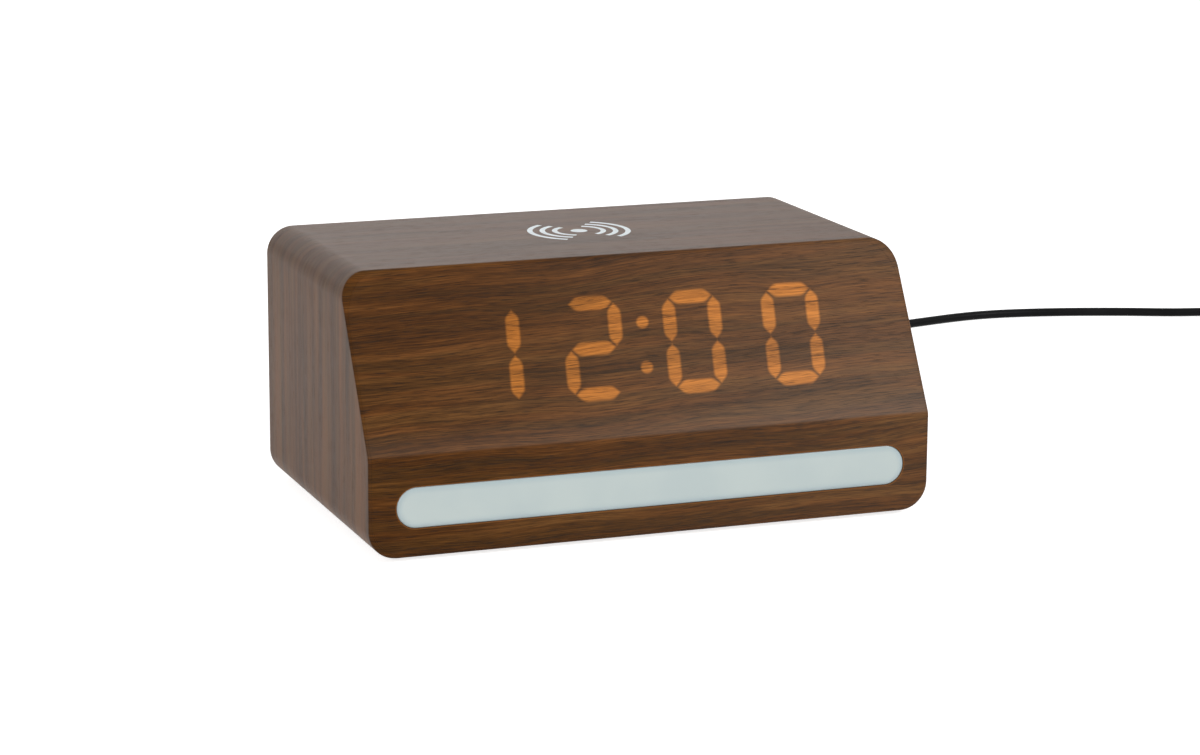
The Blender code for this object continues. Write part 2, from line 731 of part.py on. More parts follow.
def rear_cover(black):
    """The black cover let into the back, with bosses for the main board and a sounder ring."""
    outline = case_outline(CASE_WALL + GAP)
    cover = slab("rear_cover", outline, COVER_FRONT, COVER_BACK, centre=(0, CASE_MIDDLE), material=black)
    inside = COVER_FRONT + COVER_THICKNESS / 2
    bosses, holes = bmesh.new(), bmesh.new()
    for place in board_screw_places():
        add_turned(bosses, rod(BOSS_RADIUS, ON_BOARD, inside), centre=place, sides=SMALL_SIDES)
        bore = rod(BOARD_SCREW_RADIUS + GAP, ON_BOARD - OVERRUN, COVER_FRONT)
        add_turned(holes, bore, centre=place, sides=SMALL_SIDES)
    ring_radius = SOUNDER_RADIUS + GAP
    ring_end = COVER_FRONT - GAP - SOUNDER_DEPTH
    ring = [
        (ring_radius, inside),
        (ring_radius + SOUNDER_RING, inside),
        (ring_radius + SOUNDER_RING, ring_end),
        (ring_radius, ring_end),
    ]
    join(cover, turned("sounder_ring", ring, centre=(SOUNDER_X, LOWER_ROW_Z), closed=True))
    join(cover, piece("cover_bosses", bosses))
    through = (COVER_FRONT - OVERRUN, COVER_BACK + OVERRUN)
    for place in cover_screw_places():
        add_turned(holes, rod(COVER_SCREW_RADIUS + GAP, *through), centre=place, sides=SMALL_SIDES)
    for place in button_places():
        add_turned(holes, rod(BUTTON_RADIUS + GAP, *through), centre=place, sides=BUTTON_SIDES)
    for ring_number in range(SOUND_HOLE_RINGS + 1):
        count = max(1, 6 * ring_number)
        for hole in range(count):
            angle = 2 * math.pi * hole / count
            reach = ring_number * SOUND_HOLE_PITCH
            place = (SOUNDER_X + reach * math.cos(angle), LOWER_ROW_Z + reach * math.sin(angle))
            add_turned(holes, rod(SOUND_HOLE_RADIUS, *through), centre=place, sides=TINY_SIDES)
    add_turned(holes, rod(SOCKET_COLLAR_RADIUS + GAP, *through), centre=(SOCKET_X, SOCKET_Z))
    cut(cover, piece("cover_holes", holes))
    cap_opening = turned("cap_opening", rod(CAP_RADIUS + GAP, *through), centre=(CELL_SHIFT, LOWER_ROW_Z))
    for start in (0, math.pi):
        notch_reach = CAP_NECK_RADIUS + LUG_REACH + GAP
        notch = sector(CAP_RADIUS - LUG_REACH, notch_reach, start - CAP_TURN, NOTCH_HALF_ANGLE)
        join(cap_opening, slab(f"cap_notch_{start:.0f}", notch, *through, centre=(CELL_SHIFT, LOWER_ROW_Z)))
    cut(cover, cap_opening)


def screw(name, place, under_head, head_radius, head, radius, length, steel, towards=1):
    """A screw whose head stands on the plane under_head, towards +Y or -Y."""
    crown = under_head + towards * head
    profile = [
        (radius, under_head - towards * length),
        (radius, under_head),
        (head_radius, under_head),
        (head_radius, crown - towards * head / 3),
        (head_radius - head / 3, crown),
        (DRIVE_RADIUS, crown),
        (DRIVE_RADIUS, crown - towards * DRIVE_DEPTH),
    ]
    turned(name, profile, centre=place, sides=SMALL_SIDES, material=steel)


def screws(steel, black):
    for number, place in enumerate(cover_screw_places(), 1):
        screw(
            f"cover_screw_{number}",
            place,
            COVER_BACK + GAP,
            COVER_SCREW_HEAD_RADIUS,
            COVER_SCREW_HEAD,
            COVER_SCREW_RADIUS,
            COVER_SCREW_LENGTH,
            black,
        )
    for number, place in enumerate(board_screw_places(), 1):
        screw(
            f"board_screw_{number}",
            place,
            BOARD_FRONT - GAP,
            BOARD_SCREW_HEAD_RADIUS,
            BOARD_SCREW_HEAD,
            BOARD_SCREW_RADIUS,
            BOARD_SCREW_LENGTH,
            steel,
            -1,
        )


def main_board(board_green, black):
    middle = ((BOARD_LEFT + BOARD_RIGHT) / 2, (BOARD_LOW + BOARD_TOP) / 2)
    outline = rectangle(BOARD_RIGHT - BOARD_LEFT, BOARD_TOP - BOARD_LOW)
    board = slab("main_board", outline, BOARD_FRONT, BOARD_BACK, centre=middle, material=board_green)
    holes = bmesh.new()
    for place in board_screw_places():
        hole = rod(BOARD_SCREW_RADIUS + GAP, BOARD_FRONT - OVERRUN, BOARD_BACK + OVERRUN)
        add_turned(holes, hole, centre=place, sides=SMALL_SIDES)
    cut(board, piece("board_holes", holes))
    chip = rectangle(CHIP_SIDE, CHIP_SIDE)
    chip_back = BOARD_FRONT - GAP
    slab("clock_chip", chip, chip_back - CHIP_HEIGHT, chip_back, centre=(CHIP_X, CHIP_Z), material=black)


def buttons(rubber, black):
    """Each button pushes a post into the well of the switch behind it."""
    flange_back = COVER_FRONT - GAP
    switch_top = ON_BOARD + SWITCH_HEIGHT
    tip = switch_top - SWITCH_ENTRY
    profile = [
        (BUTTON_POST_RADIUS, tip),
        (BUTTON_POST_RADIUS, flange_back - BUTTON_FLANGE_DEPTH),
        (BUTTON_RADIUS + BUTTON_FLANGE, flange_back - BUTTON_FLANGE_DEPTH),
        (BUTTON_RADIUS + BUTTON_FLANGE, flange_back),
        (BUTTON_RADIUS, flange_back),
        (BUTTON_RADIUS, COVER_BACK + BUTTON_PROUD / 2),
        (BUTTON_RADIUS - BUTTON_PROUD / 2, COVER_BACK + BUTTON_PROUD),
    ]
    local = [(radius, at - COVER_BACK) for radius, at in profile]
    for name, place in zip(BUTTON_NAMES, button_places()):
        at = (place[0], COVER_BACK, place[1])
        turned(f"{name}_button", local, at=at, sides=BUTTON_SIDES, material=rubber)
        switch = slab(
            f"{name}_switch",
            rectangle(SWITCH_SIDE, SWITCH_SIDE),
            ON_BOARD,
            switch_top,
            centre=place,
            material=black,
        )
        well = rod(BUTTON_POST_RADIUS + RUNNING_GAP, tip - BUTTON_TRAVEL - GAP, switch_top + OVERRUN)
        cut(switch, turned(f"{name}_switch_well", well, centre=place, sides=SMALL_SIDES))


def sounder(black):
    back = COVER_FRONT - GAP
    body = rod(SOUNDER_RADIUS, back - SOUNDER_DEPTH, back)
    turned("sounder", body, centre=(SOUNDER_X, LOWER_ROW_Z), material=black)


def coin_cell(black, steel):
    """The cell in its holder on the board, under a cap that turns to come out."""
    place = (CELL_SHIFT, LOWER_ROW_Z)
    cell_front = ON_BOARD + HOLDER_FLOOR + GAP
    cell_back = cell_front + CELL_THICKNESS
    turned("coin_cell", rod(CELL_RADIUS, cell_front, cell_back), centre=place, material=steel)
    cup = [
        (CELL_RADIUS + GAP + HOLDER_WALL, ON_BOARD),
        (CELL_RADIUS + GAP + HOLDER_WALL, cell_back),
        (CELL_RADIUS + GAP, cell_back),
        (CELL_RADIUS + GAP, ON_BOARD + HOLDER_FLOOR),
    ]
    turned("cell_holder", cup, centre=place, material=black)
    neck = COVER_FRONT - CAP_NECK_DEPTH
    face = COVER_BACK - GAP
    profile = [
        (CAP_BOSS_RADIUS, cell_back + GAP),
        (CAP_BOSS_RADIUS, neck),
        (CAP_NECK_RADIUS, neck),
        (CAP_NECK_RADIUS, COVER_FRONT),
        (CAP_RADIUS, COVER_FRONT),
        (CAP_RADIUS, face),
    ]
    centre = (CELL_SHIFT, COVER_BACK, LOWER_ROW_Z)
    local = [(radius, at - COVER_BACK) for radius, at in profile]
    cap = turned("cell_cap", local, at=centre, material=black)
    lug_back = COVER_FRONT - GAP - COVER_BACK
    for number, start in enumerate((0, math.pi), 1):
        lug = sector(CAP_NECK_RADIUS - LUG_REACH, CAP_NECK_RADIUS + LUG_REACH, start, LUG_HALF_ANGLE)
        join(cap, slab(f"cap_lug_{number}", lug, lug_back - LUG_DEPTH, lug_back, at=centre))
    slot_floor = face - COVER_BACK - COIN_SLOT_DEPTH
    coin_slot = rectangle(COIN_SLOT_LENGTH, COIN_SLOT_WIDTH)
    cut(cap, slab("cap_coin_slot", coin_slot, slot_floor, OVERRUN, at=centre))


def power_socket(black):
    place = (SOCKET_X, SOCKET_Z)
    body_back = COVER_FRONT - GAP
    square = rectangle(SOCKET_SIDE, SOCKET_SIDE)
    socket = slab("power_socket", square, ON_BOARD, body_back, centre=place, material=black)
    collar = rod(SOCKET_COLLAR_RADIUS, body_back - GAP, COVER_BACK - GAP)
    join(socket, turned("socket_collar", collar, centre=place))
    bore = rod(BARREL_RADIUS + GAP, PLUG_FRONT - BARREL_LENGTH - GAP, COVER_BACK + OVERRUN)
    cut(socket, turned("socket_bore", bore, centre=place))


def cord_plug(steel, black):
    """The metal barrel in the socket, and the moulding with its tapered strain relief."""
    place = (SOCKET_X, SOCKET_Z)
    seat = PLUG_FRONT + BARREL_SEAT
    barrel = rod(BARREL_RADIUS, PLUG_FRONT - BARREL_LENGTH, seat)
    turned("plug_barrel", barrel, centre=place, material=steel)
    moulding_back = PLUG_FRONT + PLUG_LENGTH
    profile = [
        (BARREL_RADIUS + GAP, seat + GAP),
        (BARREL_RADIUS + GAP, PLUG_FRONT),
        (PLUG_RADIUS, PLUG_FRONT),
        (PLUG_RADIUS, moulding_back),
        (RELIEF_RADIUS, moulding_back + RELIEF_LENGTH),
    ]
    turned("cord_plug", profile, centre=place, material=black)


def tube(name, points, diameter, material, resolution=2):
    """A free cord: a polyline with a round bevel and filled ends."""
    curve = bpy.data.curves.new(name, "CURVE")
    curve.dimensions = "3D"
    curve.bevel_depth = diameter / 2
    curve.bevel_resolution = resolution
    curve.use_fill_caps = True
    spline = curve.splines.new("POLY")
    spline.points.add(len(points) - 1)
    for target, point in zip(spline.points, points):
        target.co = (*point, 1)
    curve.materials.append(material)
    made = bpy.data.objects.new(name, curve)
    bpy.context.scene.collection.objects.link(made)
    return made


def smooth_route(route, step):
    """Points about step apart on a smooth curve through the route's points."""
    route = np.array(route)
    before = 2 * route[0] - route[1]
    after = 2 * route[-1] - route[-2]
    ends = np.vstack([before, route, after])
    points = [route[0]]
    for here in range(1, len(ends) - 2):
        a, b, c, d = ends[here - 1 : here + 3]
        count = max(1, round(np.linalg.norm(c - b) / step))
        for t in np.arange(1, count + 1) / count:
            curve = (c - a) * t + (2 * a - 5 * b + 4 * c - d) * t**2 + (3 * b - a - 3 * c + d) * t**3
            points.append(b + curve / 2)
    return np.array(points)


def coil_points():
    """The loops spiral in on the ground, climb a layer and spiral out again on top."""
    start = np.array(COIL_START)
    entry = start - (0, CORD_DIAMETER, 0)
    centre = entry - (COIL_OUTER, 0, 0)
    points = [start]
    steps = COIL_TURNS * COIL_STEPS
    for step in range(steps + 1):
        turn = step / COIL_STEPS
        from_middle = turn - COIL_TURNS / 2
        radius = COIL_INNER + COIL_PITCH * abs(from_middle)
        climbed = min(max(from_middle / 0.5 + 0.5, 0), 1)
        height = COIL_LAYER * climbed**2 * (3 - 2 * climbed)
        angle = -2 * math.pi * turn
        points.append(centre + (radius * math.cos(angle), radius * math.sin(angle), height))
    points.append(points[-1] - (0, CORD_DIAMETER, 0))
    return np.array(points), centre


def length_of(points):
    return float(np.linalg.norm(np.diff(points, axis=0), axis=1).sum())


def least_gap(points):
    """The least gap between two stretches of the coil that aren't next to each other."""
    places = np.concatenate([[0], np.cumsum(np.linalg.norm(np.diff(points, axis=0), axis=1))])
    apart = np.linalg.norm(points[:, None] - points[None], axis=2)
    far = np.abs(places[:, None] - places[None]) > 4 * CORD_DIAMETER
    return float(apart[far].min()) - CORD_DIAMETER


def cord(jacket, fabric):
    route = smooth_route(CORD_ROUTE, CORD_STEP)
    tube("cord", route, CORD_DIAMETER, jacket)
    loops, centre = coil_points()
    tube("cord_coil", loops, CORD_DIAMETER, jacket, 1)
    tail = smooth_route(TAIL_ROUTE, CORD_STEP)
    tube("cord_tail", tail, CORD_DIAMETER, jacket)
    print(f"least gap in the coil {least_gap(loops):.5f} m")
    print(f"cord length {length_of(route) + length_of(loops) + length_of(tail):.3f} m, {len(route)} points")
    cord_tie(centre, fabric)


def cord_tie(centre, fabric):
    """A strap round all loops, on the coil's left."""
    inner_width = COIL_OUTER - COIL_INNER + CORD_DIAMETER + GAP
    inner_height = COIL_LAYER + CORD_DIAMETER + 2 * GAP
    middle = (
        centre[0] - (COIL_OUTER + COIL_INNER) / 2 + COIL_PITCH / 4,
        centre[2] + COIL_LAYER / 2,
    )
    outline = rounded(inner_width + 2 * TIE_THICKNESS, inner_height + 2 * TIE_THICKNESS, TIE_CORNER, 4)
    start, end = centre[1] - TIE_WIDTH / 2, centre[1] + TIE_WIDTH / 2
    strap = slab("cord_tie", outline, start, end, centre=middle, material=fabric)
    hollow = rounded(inner_width, inner_height, TIE_CORNER - TIE_THICKNESS, 4)
    cut(strap, slab("tie_hollow", hollow, start - OVERRUN, end + OVERRUN, centre=middle))


def usb_plug(black, steel, white):
    end = TAIL_ROUTE[-1]
    place = (end[0], end[2])
    relief_back = end[1] - GAP
    body_back = relief_back - USB_RELIEF_LENGTH
    body_front = body_back - USB_BODY_LENGTH
    body = slab(
        "usb_plug",
        rounded(USB_BODY_WIDTH, USB_BODY_HEIGHT, USB_BODY_CORNER, 3),
        body_front,
        body_back,
        centre=place,
        material=black,
    )
    taper = [(CORD_DIAMETER / 2 + GAP, relief_back), (USB_BODY_HEIGHT / 2 - GAP, body_back - USB_BODY_CORNER)]
    join(body, turned("usb_relief", taper, centre=place, sides=SMALL_SIDES))
    seat = rectangle(USB_SHELL_WIDTH + 2 * GAP, USB_SHELL_HEIGHT + 2 * GAP)
    shell_back = body_front + USB_SHELL_SEAT
    cut(body, slab("usb_seat", seat, body_front - OVERRUN, shell_back + GAP, centre=place))
    shell_front = shell_back - USB_SHELL_LENGTH
    shell_outline = rectangle(USB_SHELL_WIDTH, USB_SHELL_HEIGHT)
    shell = slab("usb_shell", shell_outline, shell_front, shell_back, centre=place, material=steel)
    inside = rectangle(USB_SHELL_WIDTH - 2 * USB_SHELL_WALL, USB_SHELL_HEIGHT - 2 * USB_SHELL_WALL)
    cut(shell, slab("usb_shell_hollow", inside, shell_front - OVERRUN, shell_back + OVERRUN, centre=place))
    tongue = rectangle(USB_SHELL_WIDTH - 2 * (USB_SHELL_WALL + GAP), USB_TONGUE_HEIGHT)
    raised = (USB_SHELL_HEIGHT - USB_TONGUE_HEIGHT) / 2 - USB_SHELL_WALL - GAP
    slab(
        "usb_tongue",
        tongue,
        shell_front + USB_TONGUE_SETBACK,
        shell_back,
        centre=(place[0], place[1] + raised),
        material=white,
    )


def leads(grey, wire):
    """The display's ribbon, and the leads to the charger board and the light board."""
    start_y, start_z = on_slope(DISPLAY_BOARD_BACK + GAP)
    start_y += RIBBON_THICKNESS / 2
    end_y = BOARD_FRONT - GAP
    shares = [step / RIBBON_STEPS for step in range(RIBBON_STEPS + 1)]
    line = [
        (start_y + share * (end_y - start_y), start_z - RIBBON_SAG * math.sin(math.pi * share))
        for share in shares
    ]
    half = RIBBON_THICKNESS / 2
    strip = [(y, z + half) for y, z in line] + [(y, z - half) for y, z in reversed(line)]
    left = DISPLAY_SHIFT - RIBBON_WIDTH / 2 - BUTTON_PITCH
    slab("display_ribbon", strip, left, left + RIBBON_WIDTH, "X", material=grey)
    from_light = (LEAD_FROM_MIDDLE, HOUSING_BACK - HOUSING_WALL, LIGHT_Z)
    light_end = (LEAD_FROM_MIDDLE, end_y, LIGHT_Z + LEAD_SAG)
    tube("light_lead", hanging(from_light, light_end, LEAD_SAG), 2 * LEAD_RADIUS, wire, 1)
    board_low = CHARGER_BOARD_TOP - CHARGER_BOARD_THICKNESS
    beside_chip = CHIP_X + CHIP_SIDE / 2 + LEAD_FROM_CHIP
    from_charger = (beside_chip, CHARGER_Y, board_low - GAP - LEAD_RADIUS)
    charger_end = (beside_chip, end_y, board_low - 2 * LEAD_SAG)
    tube("charger_lead", hanging(from_charger, charger_end, LEAD_SAG), 2 * LEAD_RADIUS, wire, 1)


def hanging(start, end, sag):
    """Points on a lead between two ends, level at both and sagging between."""
    points = []
    for step in range(LEAD_STEPS + 1):
        share = step / LEAD_STEPS
        level = share * share * (3 - 2 * share)
        dip = sag * math.sin(math.pi * share) ** 2
        points.append((
            start[0] + share * (end[0] - start[0]),
            start[1] + share * (end[1] - start[1]),
            start[2] + level * (end[2] - start[2]) - dip,
        ))
    return points


def main():
    clear_scene()
    wood = look("walnut", (92, 62, 42), 0.45)
    black = look("black_plastic", (28, 28, 29), 0.5)
    rubber = look("rubber", (36, 36, 37), 0.8)
    frosted = look("frosted_plastic", (222, 226, 224), 0.35)
    white = look("white_plastic", (236, 236, 232), 0.4)
    board_green = look("circuit_board", (24, 82, 52), 0.45)
    steel = look("steel", (176, 178, 182), 0.3, 1.0)
    copper = look("copper", (184, 110, 66), 0.35, 1.0)
    grey = look("ferrite", (74, 74, 78), 0.6)
    slope = bpy.data.objects.new("slope", None)
    slope.location = (0, SLOPE_MIDDLE_Y, SLOPE_MIDDLE_Z)
    slope.rotation_euler.x = -LEAN
    bpy.context.scene.collection.objects.link(slope)
    case_wrap(wood)
    feet(rubber)
    front_panel(wood, slope)
    light(frosted, white, board_green)
    display(slope, black, frosted, board_green)
    charger(copper, grey, black, board_green)
    rear_cover(black)
    screws(steel, black)
    main_board(board_green, black)
    buttons(rubber, black)
    sounder(black)
    coin_cell(black, steel)
    power_socket(black)
    cord_plug(steel, black)
    cord(rubber, black)
    usb_plug(black, steel, white)
    leads(grey, rubber)


if __name__ == "__main__":
    main()
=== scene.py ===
"""The finished pieces, materials, stage and camera of a veneered digital alarm clock.

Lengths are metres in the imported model's frame: X runs to the right, Y to the back and Z
up. The front is upright at its foot and leans back above a soft kink. Each operator makes
one piece, or a group of like pieces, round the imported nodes.
"""

import json
import math

import bmesh
import bpy
import numpy as np
from mathutils import Matrix, Vector

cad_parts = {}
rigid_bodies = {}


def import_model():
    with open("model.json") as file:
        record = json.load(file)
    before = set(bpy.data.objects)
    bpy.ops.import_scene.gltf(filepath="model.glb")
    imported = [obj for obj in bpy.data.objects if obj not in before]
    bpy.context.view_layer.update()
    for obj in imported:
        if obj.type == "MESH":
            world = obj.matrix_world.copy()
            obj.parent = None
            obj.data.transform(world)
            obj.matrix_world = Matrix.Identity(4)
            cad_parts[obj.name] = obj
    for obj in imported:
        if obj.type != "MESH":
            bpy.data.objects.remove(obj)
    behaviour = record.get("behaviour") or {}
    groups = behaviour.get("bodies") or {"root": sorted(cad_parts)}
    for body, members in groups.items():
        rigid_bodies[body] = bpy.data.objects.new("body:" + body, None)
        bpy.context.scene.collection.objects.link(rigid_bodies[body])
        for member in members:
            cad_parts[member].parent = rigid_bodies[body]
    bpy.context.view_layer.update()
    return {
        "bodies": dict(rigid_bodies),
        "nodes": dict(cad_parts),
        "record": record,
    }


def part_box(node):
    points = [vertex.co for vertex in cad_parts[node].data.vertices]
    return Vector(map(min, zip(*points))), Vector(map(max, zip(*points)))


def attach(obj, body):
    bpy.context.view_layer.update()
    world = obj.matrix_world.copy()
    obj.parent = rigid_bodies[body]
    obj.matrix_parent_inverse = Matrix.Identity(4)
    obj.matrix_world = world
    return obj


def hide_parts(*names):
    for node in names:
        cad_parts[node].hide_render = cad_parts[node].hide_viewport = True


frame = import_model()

bl_info = {
    "name": "Veneered alarm clock",
    "version": (1, 0, 0),
    "blender": (4, 5, 0),
    "location": "View3D > Sidebar > Clock",
    "description": "Finishes the pieces of a veneered digital alarm clock",
    "category": "Object",
}

# Fits and steps that all pieces share
GAP = 0.0003
HAIRLINE = 0.00005
OVERRUN = 0.002
SIDES = 64
ARC_STEPS = 12
EASE_STEPS = 4
SHARP_ANGLE = math.radians(32)
BEVEL_ANGLE = math.radians(35)
WRAP_GLOSS = 1.2
FRONT_GLOSS = 1.16

# Case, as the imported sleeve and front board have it
CASE_LOW, CASE_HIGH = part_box("case_wrap")
PANEL_LOW, PANEL_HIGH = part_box("front_panel")
HALF_WIDTH = CASE_HIGH.x
BASE = CASE_LOW.z
TOP = CASE_HIGH.z
FRONT = PANEL_LOW.y
BACK = CASE_HIGH.y
CORNER = 0.009
LEAST_CORNER = 0.001
UPPER_STRETCH = 2.0
WALL = 0.005
PANEL_DEPTH = 0.0045
KINK = BASE + 0.032
TOP_SETBACK = PANEL_HIGH.y - FRONT - PANEL_DEPTH
LEAN = math.atan2(TOP_SETBACK, TOP - KINK)
KINK_SHARES = (-1, -0.5, 0, 0.5, 1)
BLOCK_SIDE = 0.012
BLOCK_LENGTH = 0.015
FOOT_SEAT = 0.0012

# Light bar
LENS_LOW, LENS_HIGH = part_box("light_lens")
LENS_FLANGE = 0.0012
LIGHT_LENGTH = LENS_HIGH.x - LENS_LOW.x - 2 * LENS_FLANGE
LIGHT_HEIGHT = LENS_HIGH.z - LENS_LOW.z - 2 * LENS_FLANGE
LIGHT_Z = (LENS_LOW.z + LENS_HIGH.z) / 2
SLOT_GAP = 0.0001
# Width and fade of the pale line round the slot, which is partly painted glow
RIM_WIDTH = 0.00030
RIM_FADE = 0.00015
LENS_ROUND = 0.0016
LENS_ROUND_STEPS = 7

# Display: the lit segments of 12:00, as (across, up, upright) shares of a digit
DIGIT_PITCH = 0.0343
DIGIT_HALF_HEIGHT = 0.0150
DIGIT_HALF_WIDTH = 0.0078
SEGMENT_WIDTH = 0.0044
SEGMENT_END_GAP = 0.0006
SEGMENT_SOFTENING = 0.0016
DIGIT_SLANT = math.radians(4.8)
DISPLAY_SHIFT = 0.0014
COLON_RADIUS = 0.0020
COLON_HALF_PITCH = 0.0075
SLOPE_Y = FRONT + TOP_SETBACK / 2
SLOPE_Z = (KINK + TOP) / 2 - 0.0002
SEGMENT_SHARES = {
    "top": (0, 1, False),
    "middle": (0, 0, False),
    "foot": (0, -1, False),
    "upper_left": (-1, 0.5, True),
    "upper_right": (1, 0.5, True),
    "lower_left": (-1, -0.5, True),
    "lower_right": (1, -0.5, True),
}
ONE = ("upper_right", "lower_right")
TWO = ("top", "upper_right", "middle", "lower_left", "foot")
ZERO = ("top", "upper_left", "upper_right", "lower_left", "lower_right", "foot")
SHOWN_TIME = (ONE, TWO, ZERO, ZERO)

# Charging mark on the top
MARK_X = 0.0008
MARK_Y = 0.0163
MARK_STEPS = 24
INK_DEPTH = 0.00004
INK_SINK = 0.00002

# Rear
COVER_LOW, COVER_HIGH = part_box("rear_cover")
COVER_FRONT = COVER_HIGH.y - 0.0025
COVER_BACK = COVER_HIGH.y
BUTTON_NAMES = ("set", "up", "down", "alarm", "light")
BUTTON_RADIUS = 0.0037
BUTTON_POST = 0.0015
BUTTON_FLANGE_DEPTH = 0.0012
SCREW_HEAD = 0.0017
SCREW_RADIUS = 0.0015
CROSS_LENGTH = 0.0030
CROSS_WIDTH = 0.0007
CROSS_DEPTH = 0.0009
SOUND_HOLE_SIDES = 20
CAP_RADIUS = 0.0122
CAP_BOSS_RADIUS = 0.0060
CAP_NECK_RADIUS = 0.0112
CAP_NECK_DEPTH = 0.0024
LUG_REACH = 0.0020
LUG_DEPTH = 0.0012
LUG_HALF_ANGLE = math.radians(14)
NOTCH_HALF_ANGLE = math.radians(18)
CAP_TURN = math.radians(45)
COIN_SLOT_LENGTH = 0.0140
COIN_SLOT_WIDTH = 0.0018
COIN_SLOT_DEPTH = 0.0009
SOCKET_OPENING = 0.0037

# Cord, its plug at the clock, its tie and its USB plug
CORD_DIAMETER = 0.0035
CORD_EXIT = (0.0600, 0.0783, 0.0220)
CORD_STEP = 0.0040
CORD_ROUTE = (
    CORD_EXIT,
    (0.0600, 0.0820, 0.0220),
    (0.0602, 0.0930, 0.0203),
    (0.0610, 0.1050, 0.0150),
    (0.0635, 0.1180, 0.0080),
    (0.0690, 0.1310, 0.0031),
    (0.0790, 0.1460, 0.0018),
    (0.0940, 0.1615, 0.0018),
    (0.1150, 0.1750, 0.0018),
    (0.1410, 0.1866, 0.0018),
    (0.1700, 0.1960, 0.0018),
    (0.1970, 0.2032, 0.0018),
    (0.2200, 0.2085, 0.0018),
    (0.2410, 0.2128, 0.0018),
    (0.2560, 0.2137, 0.0018),
    (0.2710, 0.2120, 0.0018),
    (0.2900, 0.2075, 0.0018),
    (0.3110, 0.2005, 0.0018),
    (0.3310, 0.1925, 0.0018),
    (0.3500, 0.1862, 0.0020),
    (0.3665, 0.1778, 0.0023),
    (0.3758, 0.1700, 0.0026),
    (0.3819, 0.1595, 0.0028),
    (0.3840, 0.1475, 0.0029),
    (0.3840, 0.1428, 0.0029),
)
COIL_START = (0.3840, 0.1425, 0.0029)
COIL_TURNS = 5
COIL_MEAN_RADIUS = 0.01925
COIL_PITCH = 0.0041
COIL_LAYER = 0.00405
COIL_STEPS = 36
TAIL_ROUTE = (
    (0.3840, 0.1352, 0.00695),
    (0.3840, 0.1315, 0.00695),
    (0.3840, 0.1210, 0.0057),
    (0.3840, 0.1110, 0.0043),
    (0.3840, 0.1070, 0.00405),
    (0.3840, 0.1035, 0.00405),
)
TIE_THICKNESS = 0.0008
TIE_CORNER = 0.0020
BARREL_RADIUS = 0.00175
PLUG_RADIUS = 0.0044
RELIEF_RADIUS = 0.0027
RELIEF_LENGTH = 0.0080
LIP_LENGTH = 0.0006
LIP_BITE = 0.0001
USB_BODY_WIDTH = 0.0155
USB_BODY_HEIGHT = 0.0080
USB_BODY_LENGTH = 0.0210
USB_RELIEF_LENGTH = 0.0070
SHELL_WALL = 0.0003

# Camera and lamps
CAMERA_PLACE = (-0.38969, -1.03154, 0.29097)
CAMERA_AIM = (0.34643, 0.91148, -0.22180)
CAMERA_ROLL = 0.00573
FLOOR_SIZE = 24.0


def linear(red, green, blue):
    """A colour from 0 to 255 as the linear values that a shader takes."""
    shares = [channel / 255 for channel in (red, green, blue)]
    return tuple(s / 12.92 if s <= 0.04045 else ((s + 0.055) / 1.055) ** 2.4 for s in shares)


class ClockCaseSettings(bpy.types.PropertyGroup):
    edge_round: bpy.props.FloatProperty(
        name="Edge rounding", description="Radius of the case's front and rear edges",
        default=0.0009, min=0.0002, max=0.002, unit="LENGTH",
    )
    corner_ease: bpy.props.FloatProperty(
        name="Corner easing", description="How much fuller the front's corners are after their edge is eased",
        default=0.0022, min=0.0, max=0.004, unit="LENGTH",
    )
    kink_ease: bpy.props.FloatProperty(
        name="Kink easing", description="Half height of the curve between the upright and leaning front",
        default=0.0010, min=0.0002, max=0.004, unit="LENGTH",
    )
    wood_dark: bpy.props.FloatVectorProperty(
        name="Dark grain", description="Veneer in its darkest bands",
        default=linear(52, 31, 12), size=3, min=0, max=1, subtype="COLOR",
    )
    wood_middle: bpy.props.FloatVectorProperty(
        name="Middle grain", description="Veneer over most of the case",
        default=linear(81, 47, 16), size=3, min=0, max=1, subtype="COLOR",
    )
    wood_light: bpy.props.FloatVectorProperty(
        name="Light grain", description="Veneer in its lightest streaks",
        default=linear(117, 73, 34), size=3, min=0, max=1, subtype="COLOR",
    )
    # Also the colour of the pale line round the light's slot, where it is partly painted glow from the bar.
    wood_edge: bpy.props.FloatVectorProperty(
        name="Cut edge", description="Veneer where its thickness shows along an edge",
        default=linear(136, 88, 48), size=3, min=0, max=1, subtype="COLOR",
    )
    # Also the grey of the painted sheen on the front, towards its right and just above its kink; on the sleeve a tint
    # that grows with the tone.
    grey_and_painted_sheen: bpy.props.FloatVectorProperty(
        name="Greyed grain", description="Veneer where it has greyed, toward the front's right and kink",
        default=linear(99, 93, 87), size=3, min=0, max=1, subtype="COLOR",
    )
    pore: bpy.props.FloatVectorProperty(
        name="Pores", description="Short dark dashes along the grain",
        default=linear(38, 27, 19), size=3, min=0, max=1, subtype="COLOR",
    )
    band_width: bpy.props.FloatProperty(
        name="Band width", description="Distance across the grain over which its tone changes",
        default=0.0055, min=0.001, max=0.02, unit="LENGTH",
    )


class ClockDisplaySettings(bpy.types.PropertyGroup):
    lit_colour: bpy.props.FloatVectorProperty(
        name="Lit digits", description="Light that comes through the veneer",
        default=(0.29, 0.094, 0.011), size=3, min=0, max=1, subtype="COLOR",
    )
    soft_edge: bpy.props.FloatProperty(
        name="Soft edge", description="Distance over which a lit segment fades out",
        default=0.0011, min=0.0001, max=0.003, unit="LENGTH",
    )


class ClockLightSettings(bpy.types.PropertyGroup):
    lens_colour: bpy.props.FloatVectorProperty(
        name="Light bar", description="Frosted bar, not lit",
        default=linear(188, 199, 197), size=3, min=0, max=1, subtype="COLOR",
    )
    crown: bpy.props.FloatProperty(
        name="Crown", description="How far the bar's middle stands out from its rim",
        default=0.0005, min=0.0, max=0.001, unit="LENGTH",
    )


